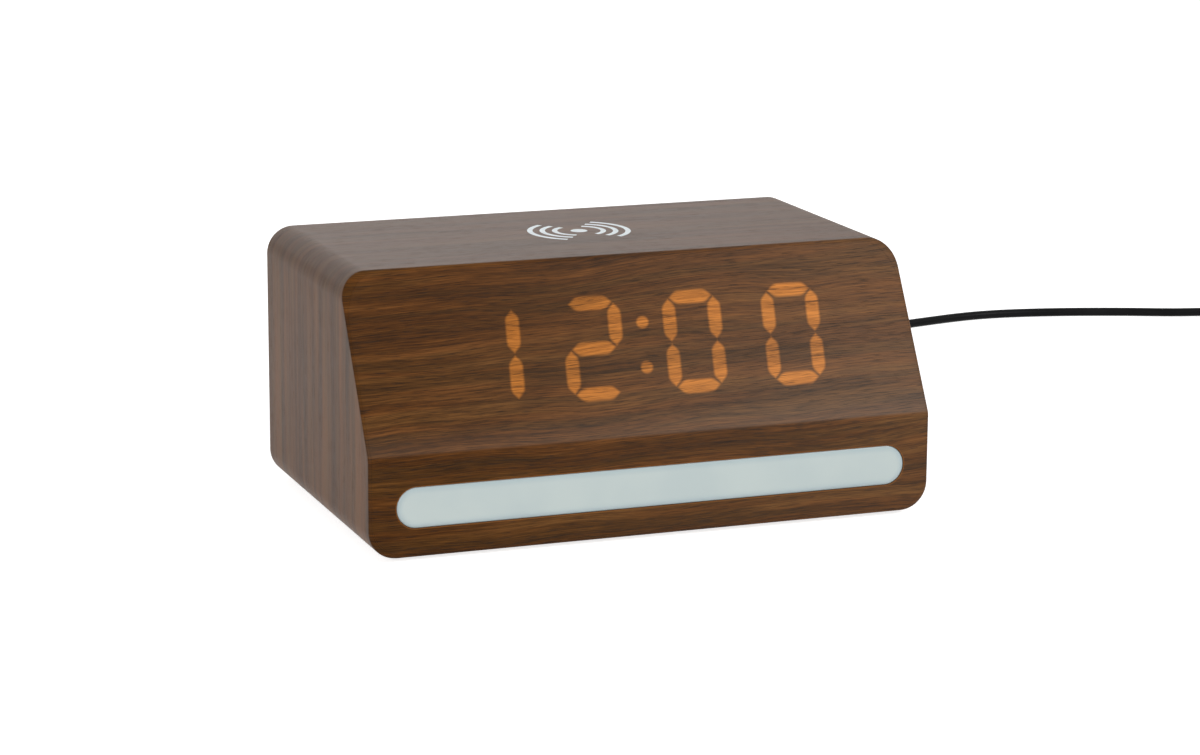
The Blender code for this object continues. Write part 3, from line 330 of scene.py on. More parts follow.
class ClockMarkSettings(bpy.types.PropertyGroup):
    ink: bpy.props.FloatVectorProperty(
        name="Mark", description="Printed charging mark on the top",
        default=linear(238, 247, 251), size=3, min=0, max=1, subtype="COLOR",
    )
    dot_radius: bpy.props.FloatProperty(
        name="Dot radius", description="Radius of the mark's middle dot",
        default=0.0028, min=0.001, max=0.005, unit="LENGTH",
    )
    first_radius: bpy.props.FloatProperty(
        name="First arc", description="Mean radius of the innermost arcs",
        default=0.0081, min=0.004, max=0.012, unit="LENGTH",
    )
    arc_pitch: bpy.props.FloatProperty(
        name="Arc pitch", description="Distance from one arc to the next",
        default=0.0041, min=0.002, max=0.008, unit="LENGTH",
    )
    arc_width: bpy.props.FloatProperty(
        name="Arc width", description="Width of each arc's line",
        default=0.0018, min=0.0005, max=0.004, unit="LENGTH",
    )
    arc_half_angle: bpy.props.FloatProperty(
        name="Arc half angle", description="Angle from the innermost arc's middle to its end",
        default=math.radians(64), min=0.2, max=1.5, unit="ROTATION",
    )
    arc_narrowing: bpy.props.FloatProperty(
        name="Arc narrowing", description="How much smaller that angle is on each next arc",
        default=math.radians(3.7), min=0.0, max=0.3, unit="ROTATION",
    )


class ClockRearSettings(bpy.types.PropertyGroup):
    plastic: bpy.props.FloatVectorProperty(
        name="Rear cover", description="Black moulded plastic",
        default=linear(30, 30, 31), size=3, min=0, max=1, subtype="COLOR",
    )
    rubber: bpy.props.FloatVectorProperty(
        name="Buttons", description="Soft button and foot rubber",
        default=linear(64, 64, 66), size=3, min=0, max=1, subtype="COLOR",
    )
    hole_radius: bpy.props.FloatProperty(
        name="Sound hole radius", description="Radius of each hole over the sounder",
        default=0.0009, min=0.0004, max=0.0015, unit="LENGTH",
    )
    hole_pitch: bpy.props.FloatProperty(
        name="Sound hole pitch", description="Distance between the rings of sound holes",
        default=0.0038, min=0.002, max=0.005, unit="LENGTH",
    )
    hole_rings: bpy.props.IntProperty(
        name="Sound hole rings", description="Rings of holes round the middle one",
        default=2, min=0, max=3,
    )


class ClockCordSettings(bpy.types.PropertyGroup):
    jacket: bpy.props.FloatVectorProperty(
        name="Cord", description="Smooth black jacket",
        default=linear(15, 15, 16), size=3, min=0, max=1, subtype="COLOR",
    )
    rib_count: bpy.props.IntProperty(
        name="Ribs", description="Ribs along the strain relief", default=5, min=2, max=8,
    )
    rib_radius: bpy.props.FloatProperty(
        name="Rib radius", description="Radius of a rib's rounded back",
        default=0.00045, min=0.0002, max=0.0008, unit="LENGTH",
    )


class ClockStageSettings(bpy.types.PropertyGroup):
    focal_length: bpy.props.FloatProperty(
        name="Focal length", description="Camera lens in millimetres on a 36 mm sensor",
        default=102.79, min=20, max=300,
    )
    fill: bpy.props.FloatProperty(
        name="Fill", description="Brightness of the pale surroundings", default=0.27, min=0, max=2,
    )
    key_power: bpy.props.FloatProperty(
        name="Key lamp", description="Power of the soft lamp at the front right",
        default=13.0, min=0, max=200, unit="POWER",
    )
    front_power: bpy.props.FloatProperty(
        name="Front lamp", description="Power of the broad lamp at the front left",
        default=18.0, min=0, max=200, unit="POWER",
    )
    rear_power: bpy.props.FloatProperty(
        name="Rear lamp", description="Power of the soft lamp behind, whose gloss shows on the top",
        default=3.2, min=0, max=200, unit="POWER",
    )
    floor: bpy.props.FloatVectorProperty(
        name="Floor", description="Pale floor as it lights the clock from below",
        default=(0.78, 0.78, 0.78), size=3, min=0, max=1, subtype="COLOR",
    )


class Field:
    """A node's output that changes over a surface. Sums on a number add Math nodes."""

    def __init__(self, nodes, socket):
        self.nodes = nodes
        self.socket = socket

    def __add__(self, other):
        return self.nodes.maths("ADD", self, other)

    __radd__ = __add__

    def __sub__(self, other):
        return self.nodes.maths("SUBTRACT", self, other)

    def __rsub__(self, other):
        return self.nodes.maths("SUBTRACT", other, self)

    def __mul__(self, other):
        return self.nodes.maths("MULTIPLY", self, other)

    __rmul__ = __mul__

    def __truediv__(self, other):
        return self.nodes.maths("DIVIDE", self, other)

    def __abs__(self):
        return self.nodes.maths("ABSOLUTE", self)


class Nodes:
    """Adds nodes to one tree and links them."""

    def __init__(self, tree):
        self.tree = tree

    def add(self, kind, settings=None, inputs=None, output=0):
        """A node with its settings made first, then its sockets filled or linked."""
        node = self.tree.nodes.new(kind)
        for name, value in (settings or {}).items():
            if name == "stops":
                self.set_stops(node.color_ramp, value)
            else:
                setattr(node, name, value)
        for name, value in (inputs or {}).items():
            if isinstance(value, Field):
                self.tree.links.new(value.socket, node.inputs[name])
            else:
                node.inputs[name].default_value = value
        return Field(self, node.outputs[output])

    def set_stops(self, ramp, stops):
        while len(ramp.elements) < len(stops):
            ramp.elements.new(1.0)
        for element, (place, colour) in zip(ramp.elements, stops):
            element.position = place
            element.color = (*colour, 1)

    def maths(self, operation, *values):
        return self.add("ShaderNodeMath", {"operation": operation}, dict(enumerate(values)))

    def least(self, first, second):
        return self.maths("MINIMUM", first, second)

    def most(self, first, second):
        return self.maths("MAXIMUM", first, second)

    def smooth(self, value, low, high):
        """0 up to low and 1 from high on, or the other way round where low is the higher."""
        inputs = {"Value": value, "From Min": low, "From Max": high}
        return self.add("ShaderNodeMapRange", {"interpolation_type": "SMOOTHSTEP"}, inputs)

    def ramp(self, value, stops):
        return self.add("ShaderNodeValToRGB", {"stops": stops}, {0: value})

    def blend(self, share, first, second, kind="MIX"):
        """Colour first where share is 0 and second where it is 1."""
        colours = [c if isinstance(c, Field) else (*c, 1) for c in (first, second)]
        settings = {"data_type": "RGBA", "blend_type": kind}
        return self.add("ShaderNodeMix", settings, {0: share, 6: colours[0], 7: colours[1]}, 2)

    def dimmed(self, colour, share):
        return self.add("ShaderNodeVectorMath", {"operation": "SCALE"}, {0: colour, "Scale": share})

    def parts(self, vector):
        first = self.add("ShaderNodeSeparateXYZ", inputs={0: vector})
        return [Field(self, socket) for socket in first.socket.node.outputs]

    def place(self):
        return self.add("ShaderNodeTexCoord", output="Object")

    def drawn_out(self, along, across, length, width, detail=2, start=0.0):
        """Noise whose marks are about length along the grain and width across it."""
        point = self.add("ShaderNodeCombineXYZ", inputs={0: along / length, 1: across / width, 2: start})
        return self.add("ShaderNodeTexNoise", inputs={"Vector": point, "Scale": 1, "Detail": detail})

    def cloud(self, size, detail=2, start=0.0):
        """Noise whose marks are about size across, the same in all directions."""
        point = self.add("ShaderNodeVectorMath", inputs={0: self.place(), 1: (start, start, start)})
        return self.add("ShaderNodeTexNoise", inputs={"Vector": point, "Scale": 1 / size, "Detail": detail})

    def bump(self, height, depth, strength=1.0):
        return self.add("ShaderNodeBump", inputs={"Strength": strength, "Distance": depth, "Height": height})


def material_of(name, build, *details, **constants):
    """A Principled material. build returns what changes over the surface, by socket name."""
    found = bpy.data.materials.get(name)
    if found:
        return found
    material = bpy.data.materials.new(name)
    material.use_nodes = True
    shader = material.node_tree.nodes["Principled BSDF"]
    nodes = Nodes(material.node_tree)
    for socket, value in constants.items():
        shader.inputs[socket.replace("_", " ")].default_value = value
    for socket, field in build(nodes, *details).items():
        material.node_tree.links.new(field.socket, shader.inputs[socket])
    return material


def grain(nodes, along, across, look, paler=0.0, broad=1.0, fine=1.0):
    """Walnut: tone in bands and streaks along the grain, shading in fibres, and short dark pores."""
    wander = nodes.drawn_out(along, across, 0.070, 0.030, 1, 3.1) - 0.5
    ripple = nodes.drawn_out(along, across, 0.016, 0.006, 1, 7.7) - 0.5
    across = across + wander * 0.0070 + ripple * 0.0004
    bands = nodes.drawn_out(along, across, 0.110, look.band_width, 3, 1.3) - 0.5
    streaks = nodes.drawn_out(along, across, 0.038, 0.0008, 2, 5.2) - 0.5
    fibres = nodes.drawn_out(along, across, 0.0075, 0.00024, 2, 9.4) - 0.5
    dashes = nodes.drawn_out(along, across, 0.0065, 0.00030, 1, 12.9)
    olive = nodes.drawn_out(along, across, 0.080, 0.0042, 2, 15.6)
    tone = 0.5 + bands * (0.58 * broad) + streaks * (0.30 * fine) + paler
    stops = [(0.30, look.wood_dark), (0.50, look.wood_middle), (0.74, look.wood_light)]
    colour = nodes.ramp(tone, stops)
    colour = nodes.blend(nodes.smooth(olive, 0.44, 0.62), colour, (0.92, 1.03, 1.12), "MULTIPLY")
    pores = nodes.smooth(dashes - bands * 0.30 - streaks * 0.35, 0.61, 0.67)
    colour = nodes.blend(pores * (0.60 * fine), colour, look.pore)
    colour = nodes.dimmed(colour, 1.0 + fibres * (2.3 * fine))
    return colour, tone, fibres, pores


def wrap_wood(nodes, look):
    """Veneer whose grain runs round the case, and in layers where the wall's thickness shows."""
    x, y, z = nodes.parts(nodes.place())
    along = x + nodes.maths("SIGN", x) * (TOP - z)
    past_x = nodes.most(abs(x) - (HALF_WIDTH - CORNER), 0.0)
    past_z = nodes.most(abs(z - (BASE + TOP) / 2) - ((TOP - BASE) / 2 - CORNER), 0.0)
    inwards = CORNER - nodes.maths("SQRT", past_x * past_x + past_z * past_z)
    down = nodes.smooth(z, TOP - 0.002, TOP - 0.014)
    tones = {"paler": down * 0.07, "broad": 0.8 + down * 1.0, "fine": 0.27}
    colour, tone, fibres, pores = grain(nodes, along, y + inwards, look, **tones)
    colour = nodes.blend(0.10 + (tone - 0.5) * 0.40, colour, look.grey_and_painted_sheen)
    edge = nodes.add("ShaderNodeAttribute", {"attribute_name": "edge"}, output="Fac")
    colour = nodes.blend(edge * 0.25, colour, look.wood_edge)
    return {
        "Base Color": colour,
        "Roughness": 0.43 + (tone - 0.5) * 0.12 + fibres * 0.10 + pores * 0.10,
        "Normal": nodes.bump(fibres * 0.35 - pores, 0.00004, 0.6),
    }


def lit_share(nodes, side, up, look):
    """1 inside a lit segment or dot of the display and 0 outside."""
    outside = None
    for digit, lit in enumerate(SHOWN_TIME):
        middle = DISPLAY_SHIFT + (digit - 1.5) * DIGIT_PITCH
        for across_share, up_share, upright in (SEGMENT_SHARES[name] for name in lit):
            off_side = abs(side - (middle + across_share * DIGIT_HALF_WIDTH))
            off_up = abs(up - up_share * DIGIT_HALF_HEIGHT)
            long, short = (off_up, off_side) if upright else (off_side, off_up)
            reach = (DIGIT_HALF_HEIGHT / 2 if upright else DIGIT_HALF_WIDTH) - SEGMENT_END_GAP
            corner = (long + short - reach) * math.sqrt(0.5)
            past = nodes.maths("SMOOTH_MAX", short - SEGMENT_WIDTH / 2, corner, SEGMENT_SOFTENING)
            outside = nodes.least(outside, past) if outside else past
    off_side = side - DISPLAY_SHIFT
    off_up = abs(up) - COLON_HALF_PITCH
    past = nodes.maths("SQRT", off_side * off_side + off_up * off_up) - COLON_RADIUS
    outside = nodes.least(outside, past)
    return nodes.smooth(outside, look.soft_edge / 2, -look.soft_edge / 2)


def past_bar(nodes, x, z):
    """Distance outside the light bar's outline, and below zero inside it."""
    past_end = nodes.most(abs(x) - (LIGHT_LENGTH - LIGHT_HEIGHT) / 2, 0.0)
    off_up = z - LIGHT_Z
    return nodes.maths("SQRT", past_end * past_end + off_up * off_up) - LIGHT_HEIGHT / 2


def panel_wood(nodes, look, display):
    """The front's veneer, with the digits shining through, painted sheen towards its right and above the kink, and a
    paler rim at the light's slot, partly painted glow.
    """
    x, y, z = nodes.parts(nodes.place())
    above = nodes.most(z - KINK, 0.0)
    leaning = nodes.smooth(above, 0.0, 0.0010)
    to_right = nodes.smooth(x, -HALF_WIDTH, HALF_WIDTH)
    across = z + above * (1 / math.cos(LEAN) - 1) - x * (above * 0.7 + 0.012)
    # Painted light: the tone is painted paler towards the right and just above the kink, which also brightens the
    # digits there.
    paler = 0.02 + x * 0.70 + leaning * (0.085 - above * 1.6)
    colour, tone, fibres, pores = grain(nodes, x, across, look, paler)
    # Painted sheen: the veneer is blended towards grey towards the right, and most in a strip just above the kink, in
    # place of the lamps' gloss.
    near_kink = nodes.smooth(above, 0.040, 0.0) * 0.16
    at_kink = nodes.smooth(above, 0.010, 0.0) * 0.17
    painted_sheen = to_right * (0.14 + leaning * (0.02 + near_kink)) + leaning * at_kink
    colour = nodes.blend(painted_sheen, colour, look.grey_and_painted_sheen)
    # Pale line round the light's slot, in the cut veneer's colour: partly the cut edge, partly painted glow from the
    # bar on the wood.
    from_slot = past_bar(nodes, x, z)
    rim = nodes.smooth(from_slot, RIM_WIDTH + RIM_FADE, RIM_WIDTH)
    colour = nodes.blend(rim * 0.6, colour, look.wood_edge)
    up = (z - SLOPE_Z) * math.cos(LEAN) + (y - SLOPE_Y) * math.sin(LEAN)
    lit = lit_share(nodes, x - up * math.tan(DIGIT_SLANT), up, display)
    through = nodes.most(1.0 + (tone - 0.5) * 2.4 + fibres * 1.8 - pores * 0.60, 0.15)
    return {
        "Base Color": colour,
        "Roughness": 0.42 + (tone - 0.5) * 0.12 + fibres * 0.10 + pores * 0.10,
        "Emission Color": nodes.dimmed(nodes.blend(lit, (0, 0, 0), display.lit_colour), through),
        "Normal": nodes.bump(fibres * 0.35 - pores, 0.00004, 0.7),
    }


def moulded(nodes, colour, grit, rough):
    """Moulded plastic or rubber: an eroded fine surface with slight changes in tone."""
    fine = nodes.cloud(grit, 2)
    broad = nodes.cloud(0.018, 3, 4.0)
    pale = tuple(min(1.0, channel * 1.25 + 0.004) for channel in colour)
    return {
        "Base Color": nodes.blend(nodes.smooth(broad, 0.3, 0.75), tuple(colour), pale),
        "Roughness": rough + (broad - 0.5) * 0.12 + (fine - 0.5) * 0.10,
        "Normal": nodes.bump(fine, grit / 8, 0.35),
    }


def frosted(nodes, colour):
    """Frosted plastic, slightly cloudy, with painted shade that makes it darker and bluer along its rim."""
    x, y, z = nodes.parts(nodes.place())
    # Painted shade: darker and bluer towards the rounded rim.
    rim = nodes.smooth(past_bar(nodes, x, z), -1.6 * LENS_ROUND, 0.0)
    cloud = nodes.cloud(0.020, 2)
    fine = nodes.cloud(0.0004, 1)
    share = nodes.smooth(cloud, 0.35, 0.7) * 0.3 + rim
    rim_shade = (colour[0] * 0.80, colour[1] * 0.85, colour[2] * 0.90)
    return {
        "Base Color": nodes.blend(nodes.least(share, 1.0), tuple(colour), rim_shade),
        "Roughness": 0.34 + (fine - 0.5) * 0.12,
        "Normal": nodes.bump(fine, 0.00001, 0.3),
    }


def plated(nodes, colour, length, width):
    """Metal with fine marks of its drawing or turning, along Y."""
    x, y, z = nodes.parts(nodes.place())
    marks = nodes.drawn_out(y, x + z, length, width, 2)
    dark = tuple(channel * 0.72 for channel in colour)
    return {
        "Base Color": nodes.blend(nodes.smooth(marks, 0.3, 0.7), dark, tuple(colour)),
        "Roughness": 0.22 + marks * 0.2,
        "Normal": nodes.bump(marks, width / 6, 0.25),
    }


def board_mask(nodes, colour):
    """Solder mask over traces that run at right angles, with small tinned holes."""
    x, y, z = nodes.parts(nodes.place())
    rise = y * 0.5 + z
    lane = abs(nodes.maths("FRACT", x / 0.0021) - 0.5)
    cross = abs(nodes.maths("FRACT", rise / 0.0027) - 0.5)
    switch = nodes.smooth(nodes.cloud(0.007, 1, 2.0), 0.49, 0.51)
    trace = nodes.smooth(lane, 0.13, 0.10) * switch + nodes.smooth(cross, 0.13, 0.10) * (1 - switch)
    off = nodes.maths("SQRT", lane * lane + cross * cross)
    dot = nodes.smooth(off, 0.09, 0.06)
    lighter = tuple(min(1.0, channel * 1.7) for channel in colour)
    green = nodes.blend(trace, tuple(colour), lighter)
    return {
        "Base Color": nodes.blend(dot, green, (0.62, 0.60, 0.55)),
        "Metallic": dot * 0.9,
        "Roughness": 0.42 - trace * 0.08,
        "Normal": nodes.bump(trace, 0.00003, 0.6),
    }


def winding(nodes, colour, middle_x, middle_y):
    """Enamelled wire wound in rings round an upright axis."""
    x, y, z = nodes.parts(nodes.place())
    off_x = x - middle_x
    off_y = y - middle_y
    turns = nodes.maths("SQRT", off_x * off_x + off_y * off_y) / 0.0011
    wire = abs(nodes.maths("FRACT", turns) - 0.5) * 2
    dark = tuple(channel * 0.4 for channel in colour)
    return {
        # Painted shade: darker between the turns, in the grooves between the wires.
        "Base Color": nodes.blend(nodes.smooth(wire, 1.0, 0.6), dark, tuple(colour)),
        "Roughness": 0.3 + wire * 0.15,
        "Normal": nodes.bump(1 - wire * wire, 0.0003, 1.0),
    }


def striped(nodes, colour, pitch):
    """Flat cable: parallel conductors side by side along X."""
    x, y, z = nodes.parts(nodes.place())
    stripe = abs(nodes.maths("FRACT", x / pitch) - 0.5) * 2
    dark = tuple(channel * 0.55 for channel in colour)
    return {
        # Painted shade: darker in the grooves between the conductors.
        "Base Color": nodes.blend(nodes.smooth(stripe, 0.6, 0.9), tuple(colour), dark),
        "Roughness": 0.4 + stripe * 0.1,
        "Normal": nodes.bump(1 - stripe, 0.0001, 0.6),
    }


def woven(nodes, colour, pitch):
    """Strap of hook and loop tape: fine threads across and a fuzzy pile."""
    x, y, z = nodes.parts(nodes.place())
    weft = abs(nodes.maths("FRACT", y / pitch) - 0.5) * 2
    warp = abs(nodes.maths("FRACT", (x + z) / pitch) - 0.5) * 2
    pile = nodes.cloud(0.0003, 2)
    weave = weft * warp + (pile - 0.5) * 0.6
    pale = tuple(min(1.0, channel * 2.2 + 0.01) for channel in colour)
    return {
        "Base Color": nodes.blend(nodes.smooth(weave, 0.1, 0.8), tuple(colour), pale),
        "Roughness": 0.85 + (pile - 0.5) * 0.2,
        "Normal": nodes.bump(weave, 0.0002, 0.8),
    }


def printed(nodes, colour):
    """Screen-printed ink that follows the veneer's fine grain a little."""
    x, y, z = nodes.parts(nodes.place())
    fibres = nodes.drawn_out(x, y, 0.009, 0.00035, 2, 9.4)
    thin = tuple(channel * 0.82 for channel in colour)
    return {
        "Base Color": nodes.blend(nodes.smooth(fibres, 0.62, 0.42), thin, tuple(colour)),
        "Roughness": 0.42 + (fibres - 0.5) * 0.15,
        "Normal": nodes.bump(fibres, 0.00003, 0.4),
    }


def front_wood(context):
    settings = context.scene
    constants = {"IOR": FRONT_GLOSS, "Emission_Strength": 1.0}
    return material_of("walnut_front", panel_wood, settings.clock_case, settings.clock_display, **constants)


def black_moulding(look):
    return material_of("black_moulding", moulded, look.plastic, 0.0006, 0.46)


def soft_rubber(look):
    return material_of("soft_rubber", moulded, look.rubber, 0.0004, 0.72)


def cord_rubber(look):
    return material_of("cord_rubber", moulded, look.jacket, 0.0009, 0.38, IOR=1.15)


def bright_metal():
    return material_of("bright_metal", plated, linear(196, 198, 202), 0.006, 0.0003, Metallic=1.0)


def black_metal():
    return material_of("black_metal", plated, linear(44, 44, 46), 0.004, 0.0003, Metallic=0.6)


def bridge(bm, ring, following):
    """Faces between two rings of as many points each."""
    turned_on = ring[1:] + ring[:1]
    followed = following[1:] + following[:1]
    return [bm.faces.new(corners) for corners in zip(ring, turned_on, followed, following)]


def new_object(name, data):
    made = bpy.data.objects.new(name, data)
    bpy.context.scene.collection.objects.link(made)
    return made


def object_of(name, bm, material=None):
    """An object of the closed shapes in bm, with their faces turned outwards."""
    bmesh.ops.recalc_face_normals(bm, faces=bm.faces)
    mesh = bpy.data.meshes.new(name)
    bm.to_mesh(mesh)
    bm.free()
    if material:
        mesh.materials.append(material)
    return new_object(name, mesh)


def plain(made):
    """Turns the object's modifiers into its plain mesh."""
    bpy.context.view_layer.update()
    graph = bpy.context.evaluated_depsgraph_get()
    mesh = bpy.data.meshes.new_from_object(made.evaluated_get(graph), depsgraph=graph)
    mesh.name = made.name
    made.modifiers.clear()
    made.data = mesh
    return made


def smoothed(made, width=0.0, segments=2):
    """Rounds the sharp edges by width, then shades with the flat faces kept flat."""
    if width:
        bevel = made.modifiers.new("edges", "BEVEL")
        bevel.width = width
        bevel.segments = segments
        bevel.limit_method = "ANGLE"
        bevel.angle_limit = BEVEL_ANGLE
        bevel.use_clamp_overlap = True
        plain(made)
    made.data.shade_smooth()
    made.data.set_sharp_from_angle(angle=SHARP_ANGLE)
    weighted = made.modifiers.new("normals", "WEIGHTED_NORMAL")
    weighted.keep_sharp = True
    weighted.weight = 100
    return plain(made)


def combine(target, tool, operation="DIFFERENCE"):
    """Cuts or joins the tool and takes it away."""
    modifier = target.modifiers.new(tool.name, "BOOLEAN")
    modifier.operation = operation
    modifier.solver = "EXACT"
    modifier.object = tool
    plain(target)
    bpy.data.objects.remove(tool)
    return target


def slab(name, outline, start, end, centre=(0, 0), material=None):
    """Extrudes a closed (x, z) outline along Y."""
    bm = bmesh.new()
    rings = [
        [bm.verts.new((centre[0] + x, place, centre[1] + z)) for x, z in outline]
        for place in (start, end)
    ]
    bridge(bm, *rings)
    for ring in rings:
        bm.faces.new(ring)
    return object_of(name, bm, material)


def turned(name, profile, centre=(0, 0), material=None, sides=SIDES, closed=False, upright=False):
    """Turns a profile of (radius, place along the axis) round an axis along Y, or upright."""
    bm = bmesh.new()
    rings = []
    for radius, along in profile:
        ring = []
        for step in range(sides):
            angle = 2 * math.pi * step / sides
            across = centre[0] + radius * math.cos(angle)
            other = centre[1] + radius * math.sin(angle)
            ring.append(bm.verts.new((across, other, along) if upright else (across, along, other)))
        rings.append(ring)
    for ring, following in zip(rings, rings[1:]):
        bridge(bm, ring, following)
    if closed:
        bridge(bm, rings[-1], rings[0])
    else:
        bm.faces.new(rings[0])
        bm.faces.new(rings[-1])
    return object_of(name, bm, material)


def eased(profile):
    """The profile's points, with each corner that names a third value eased over that length."""
    points = [Vector(point[:2]) for point in profile]
    result = [points[0]]
    for here in range(1, len(profile) - 1):
        reach = profile[here][2] if len(profile[here]) > 2 else 0
        if not reach:
            result.append(points[here])
            continue
        before = points[here] + (points[here - 1] - points[here]).normalized() * reach
        after = points[here] + (points[here + 1] - points[here]).normalized() * reach
        for step in range(EASE_STEPS + 1):
            share = step / EASE_STEPS
            first = before.lerp(points[here], share)
            second = points[here].lerp(after, share)
            result.append(first.lerp(second, share))
    result.append(points[-1])
    return [tuple(point) for point in result]


def rounded(width, height, corner, steps=ARC_STEPS):
    """A rectangle with round corners, centred on zero."""
    points = []
    for turn, (side, rise) in enumerate(((1, 1), (-1, 1), (-1, -1), (1, -1))):
        for step in range(steps + 1):
            angle = math.pi / 2 * (turn + step / steps)
            points.append((
                side * (width / 2 - corner) + corner * math.cos(angle),
                rise * (height / 2 - corner) + corner * math.sin(angle),
            ))
    return points


def stadium(length, height):
    """Two half circles joined by straight sides, centred on zero."""
    points = []
    for turn, side in enumerate((1, -1)):
        for step in range(2 * ARC_STEPS + 1):
            angle = math.pi * (turn - 0.5 + step / (2 * ARC_STEPS))
            points.append((
                side * (length - height) / 2 + height / 2 * math.cos(angle),
                height / 2 * math.sin(angle),
            ))
    return points


def sector(inner, outer, middle, half, steps=ARC_STEPS):
    """A piece of a ring, about the direction middle."""
    angles = [middle + half * (2 * step / steps - 1) for step in range(steps + 1)]
    rim = [(outer * math.cos(a), outer * math.sin(a)) for a in angles]
    return rim + [(inner * math.cos(a), inner * math.sin(a)) for a in reversed(angles)]


def middle_of(node):
    """The (x, z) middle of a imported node."""
    low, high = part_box(node)
    return (low.x + high.x) / 2, (low.z + high.z) / 2


def hand_over(made, body, slot, *nodes):
    """Lets a finished piece ride on its body and hides the nodes it stands for. The slot is not used."""
    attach(made, body)
    if nodes:
        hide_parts(*nodes)
    return made


def shape_tree(name, *sizes):
    """A Geometry Nodes tree, and the named inputs given as (name, socket type)."""
    tree = bpy.data.node_groups.new(name, "GeometryNodeTree")
    tree.interface.new_socket("Geometry", in_out="OUTPUT", socket_type="NodeSocketGeometry")
    inputs = [("Geometry", "NodeSocketGeometry"), *sizes, ("Material", "NodeSocketMaterial")]
    for label, kind in inputs:
        tree.interface.new_socket(label, in_out="INPUT", socket_type=kind)
    nodes = Nodes(tree)
    source = tree.nodes.new("NodeGroupInput")
    return nodes, {label: Field(nodes, source.outputs[label]) for label, kind in inputs}


def close_tree(nodes, shape, material):
    """Ends a tree in real meshes with their material."""
    real = nodes.add("GeometryNodeRealizeInstances", inputs={0: shape})
    dressed = nodes.add("GeometryNodeSetMaterial", inputs={"Geometry": real, "Material": material})
    end = nodes.tree.nodes.new("NodeGroupOutput")
    nodes.tree.links.new(dressed.socket, end.inputs[0])
    return nodes.tree


def grown(name, tree, values, places=()):
    """The plain mesh that a tree makes from points at places and its input values."""
    mesh = bpy.data.meshes.new(name)
    mesh.from_pydata([tuple(place) for place in places], [], [])
    made = new_object(name, mesh)
    modifier = made.modifiers.new(name, "NODES")
    modifier.node_group = tree
    for socket in tree.interface.items_tree:
        if socket.in_out == "INPUT" and socket.name in values:
            modifier[socket.identifier] = values[socket.name]
    return plain(made)


def copies_tree():
    """One copy of a piece at each point."""
    nodes, given = shape_tree("copies", ("Piece", "NodeSocketObject"))
    piece = nodes.add("GeometryNodeObjectInfo", inputs={"Object": given["Piece"]}, output="Geometry")
    copies = nodes.add("GeometryNodeInstanceOnPoints", inputs={"Points": given["Geometry"], "Instance": piece})
    return close_tree(nodes, copies, given["Material"])


def row_tree():
    """Copies of a piece in a row, each a little smaller or larger than the one before."""
    sizes = [
        ("Piece", "NodeSocketObject"),
        ("Count", "NodeSocketInt"),
        ("Start", "NodeSocketVector"),
        ("Step", "NodeSocketVector"),
        ("First size", "NodeSocketFloat"),
        ("Growth", "NodeSocketFloat"),
    ]
    nodes, given = shape_tree("row", *sizes)
    line = nodes.add(
        "GeometryNodeMeshLine",
        {"mode": "OFFSET"},
        {"Count": given["Count"], "Start Location": given["Start"], "Offset": given["Step"]},
    )
    piece = nodes.add("GeometryNodeObjectInfo", inputs={"Object": given["Piece"]}, output="Geometry")
    size = given["First size"] + nodes.add("GeometryNodeInputIndex") * given["Growth"]
    scale = nodes.add("ShaderNodeCombineXYZ", inputs={0: size, 1: 1.0, 2: size})
    copies = nodes.add("GeometryNodeInstanceOnPoints", inputs={"Points": line, "Instance": piece, "Scale": scale})
    return close_tree(nodes, copies, given["Material"])


def perforation_tree(rings):
    """Rods on rings round a middle one, which cut the sound holes."""
    sizes = [
        ("Pitch", "NodeSocketFloat"),
        ("Hole radius", "NodeSocketFloat"),
        ("Depth", "NodeSocketFloat"),
        ("Middle", "NodeSocketVector"),
    ]
    nodes, given = shape_tree("perforation", *sizes)
    rod = nodes.add(
        "GeometryNodeMeshCylinder",
        inputs={"Vertices": SOUND_HOLE_SIDES, "Radius": given["Hole radius"], "Depth": given["Depth"]},
    )
    shapes = [rod]
    for ring in range(1, rings + 1):
        points = nodes.add("GeometryNodeMeshCircle", inputs={"Vertices": 6 * ring, "Radius": given["Pitch"] * ring})
        shapes.append(nodes.add("GeometryNodeInstanceOnPoints", inputs={"Points": points, "Instance": rod}))
    joined = nodes.tree.nodes.new("GeometryNodeJoinGeometry")
    for shape in shapes:
        nodes.tree.links.new(shape.socket, joined.inputs[0])
    turn = {"Geometry": Field(nodes, joined.outputs[0]), "Rotation": (math.pi / 2, 0, 0)}
    placed = nodes.add("GeometryNodeTransform", inputs={**turn, "Translation": given["Middle"]})
    return close_tree(nodes, placed, given["Material"])


def front_at(z, ease):
    """Where the front's face lies at a height, with the kink eased over a short curve."""
    above = z - KINK
    if above > ease:
        run = above
    elif above < -ease:
        run = 0.0
    else:
        run = (above + ease) ** 2 / (4 * ease)
    return FRONT + run * math.tan(LEAN)


def right_edge(inset, ease, fuller=0.0):
    """(half width, height) up the case's right side, drawn in by inset, with fuller corners."""
    corner = max(CORNER - inset, LEAST_CORNER) + fuller
    tall = corner + fuller * UPPER_STRETCH
    half, low, high = HALF_WIDTH - inset, BASE + inset, TOP - inset
    angles = [math.pi / 2 * step / ARC_STEPS for step in range(ARC_STEPS + 1)]
    lower = [(half - corner + corner * math.sin(a), low + corner - corner * math.cos(a)) for a in angles]
    upper = [(half - corner + corner * math.cos(a), high - tall + tall * math.sin(a)) for a in angles]
    return lower + [(half, KINK + share * ease) for share in KINK_SHARES] + upper


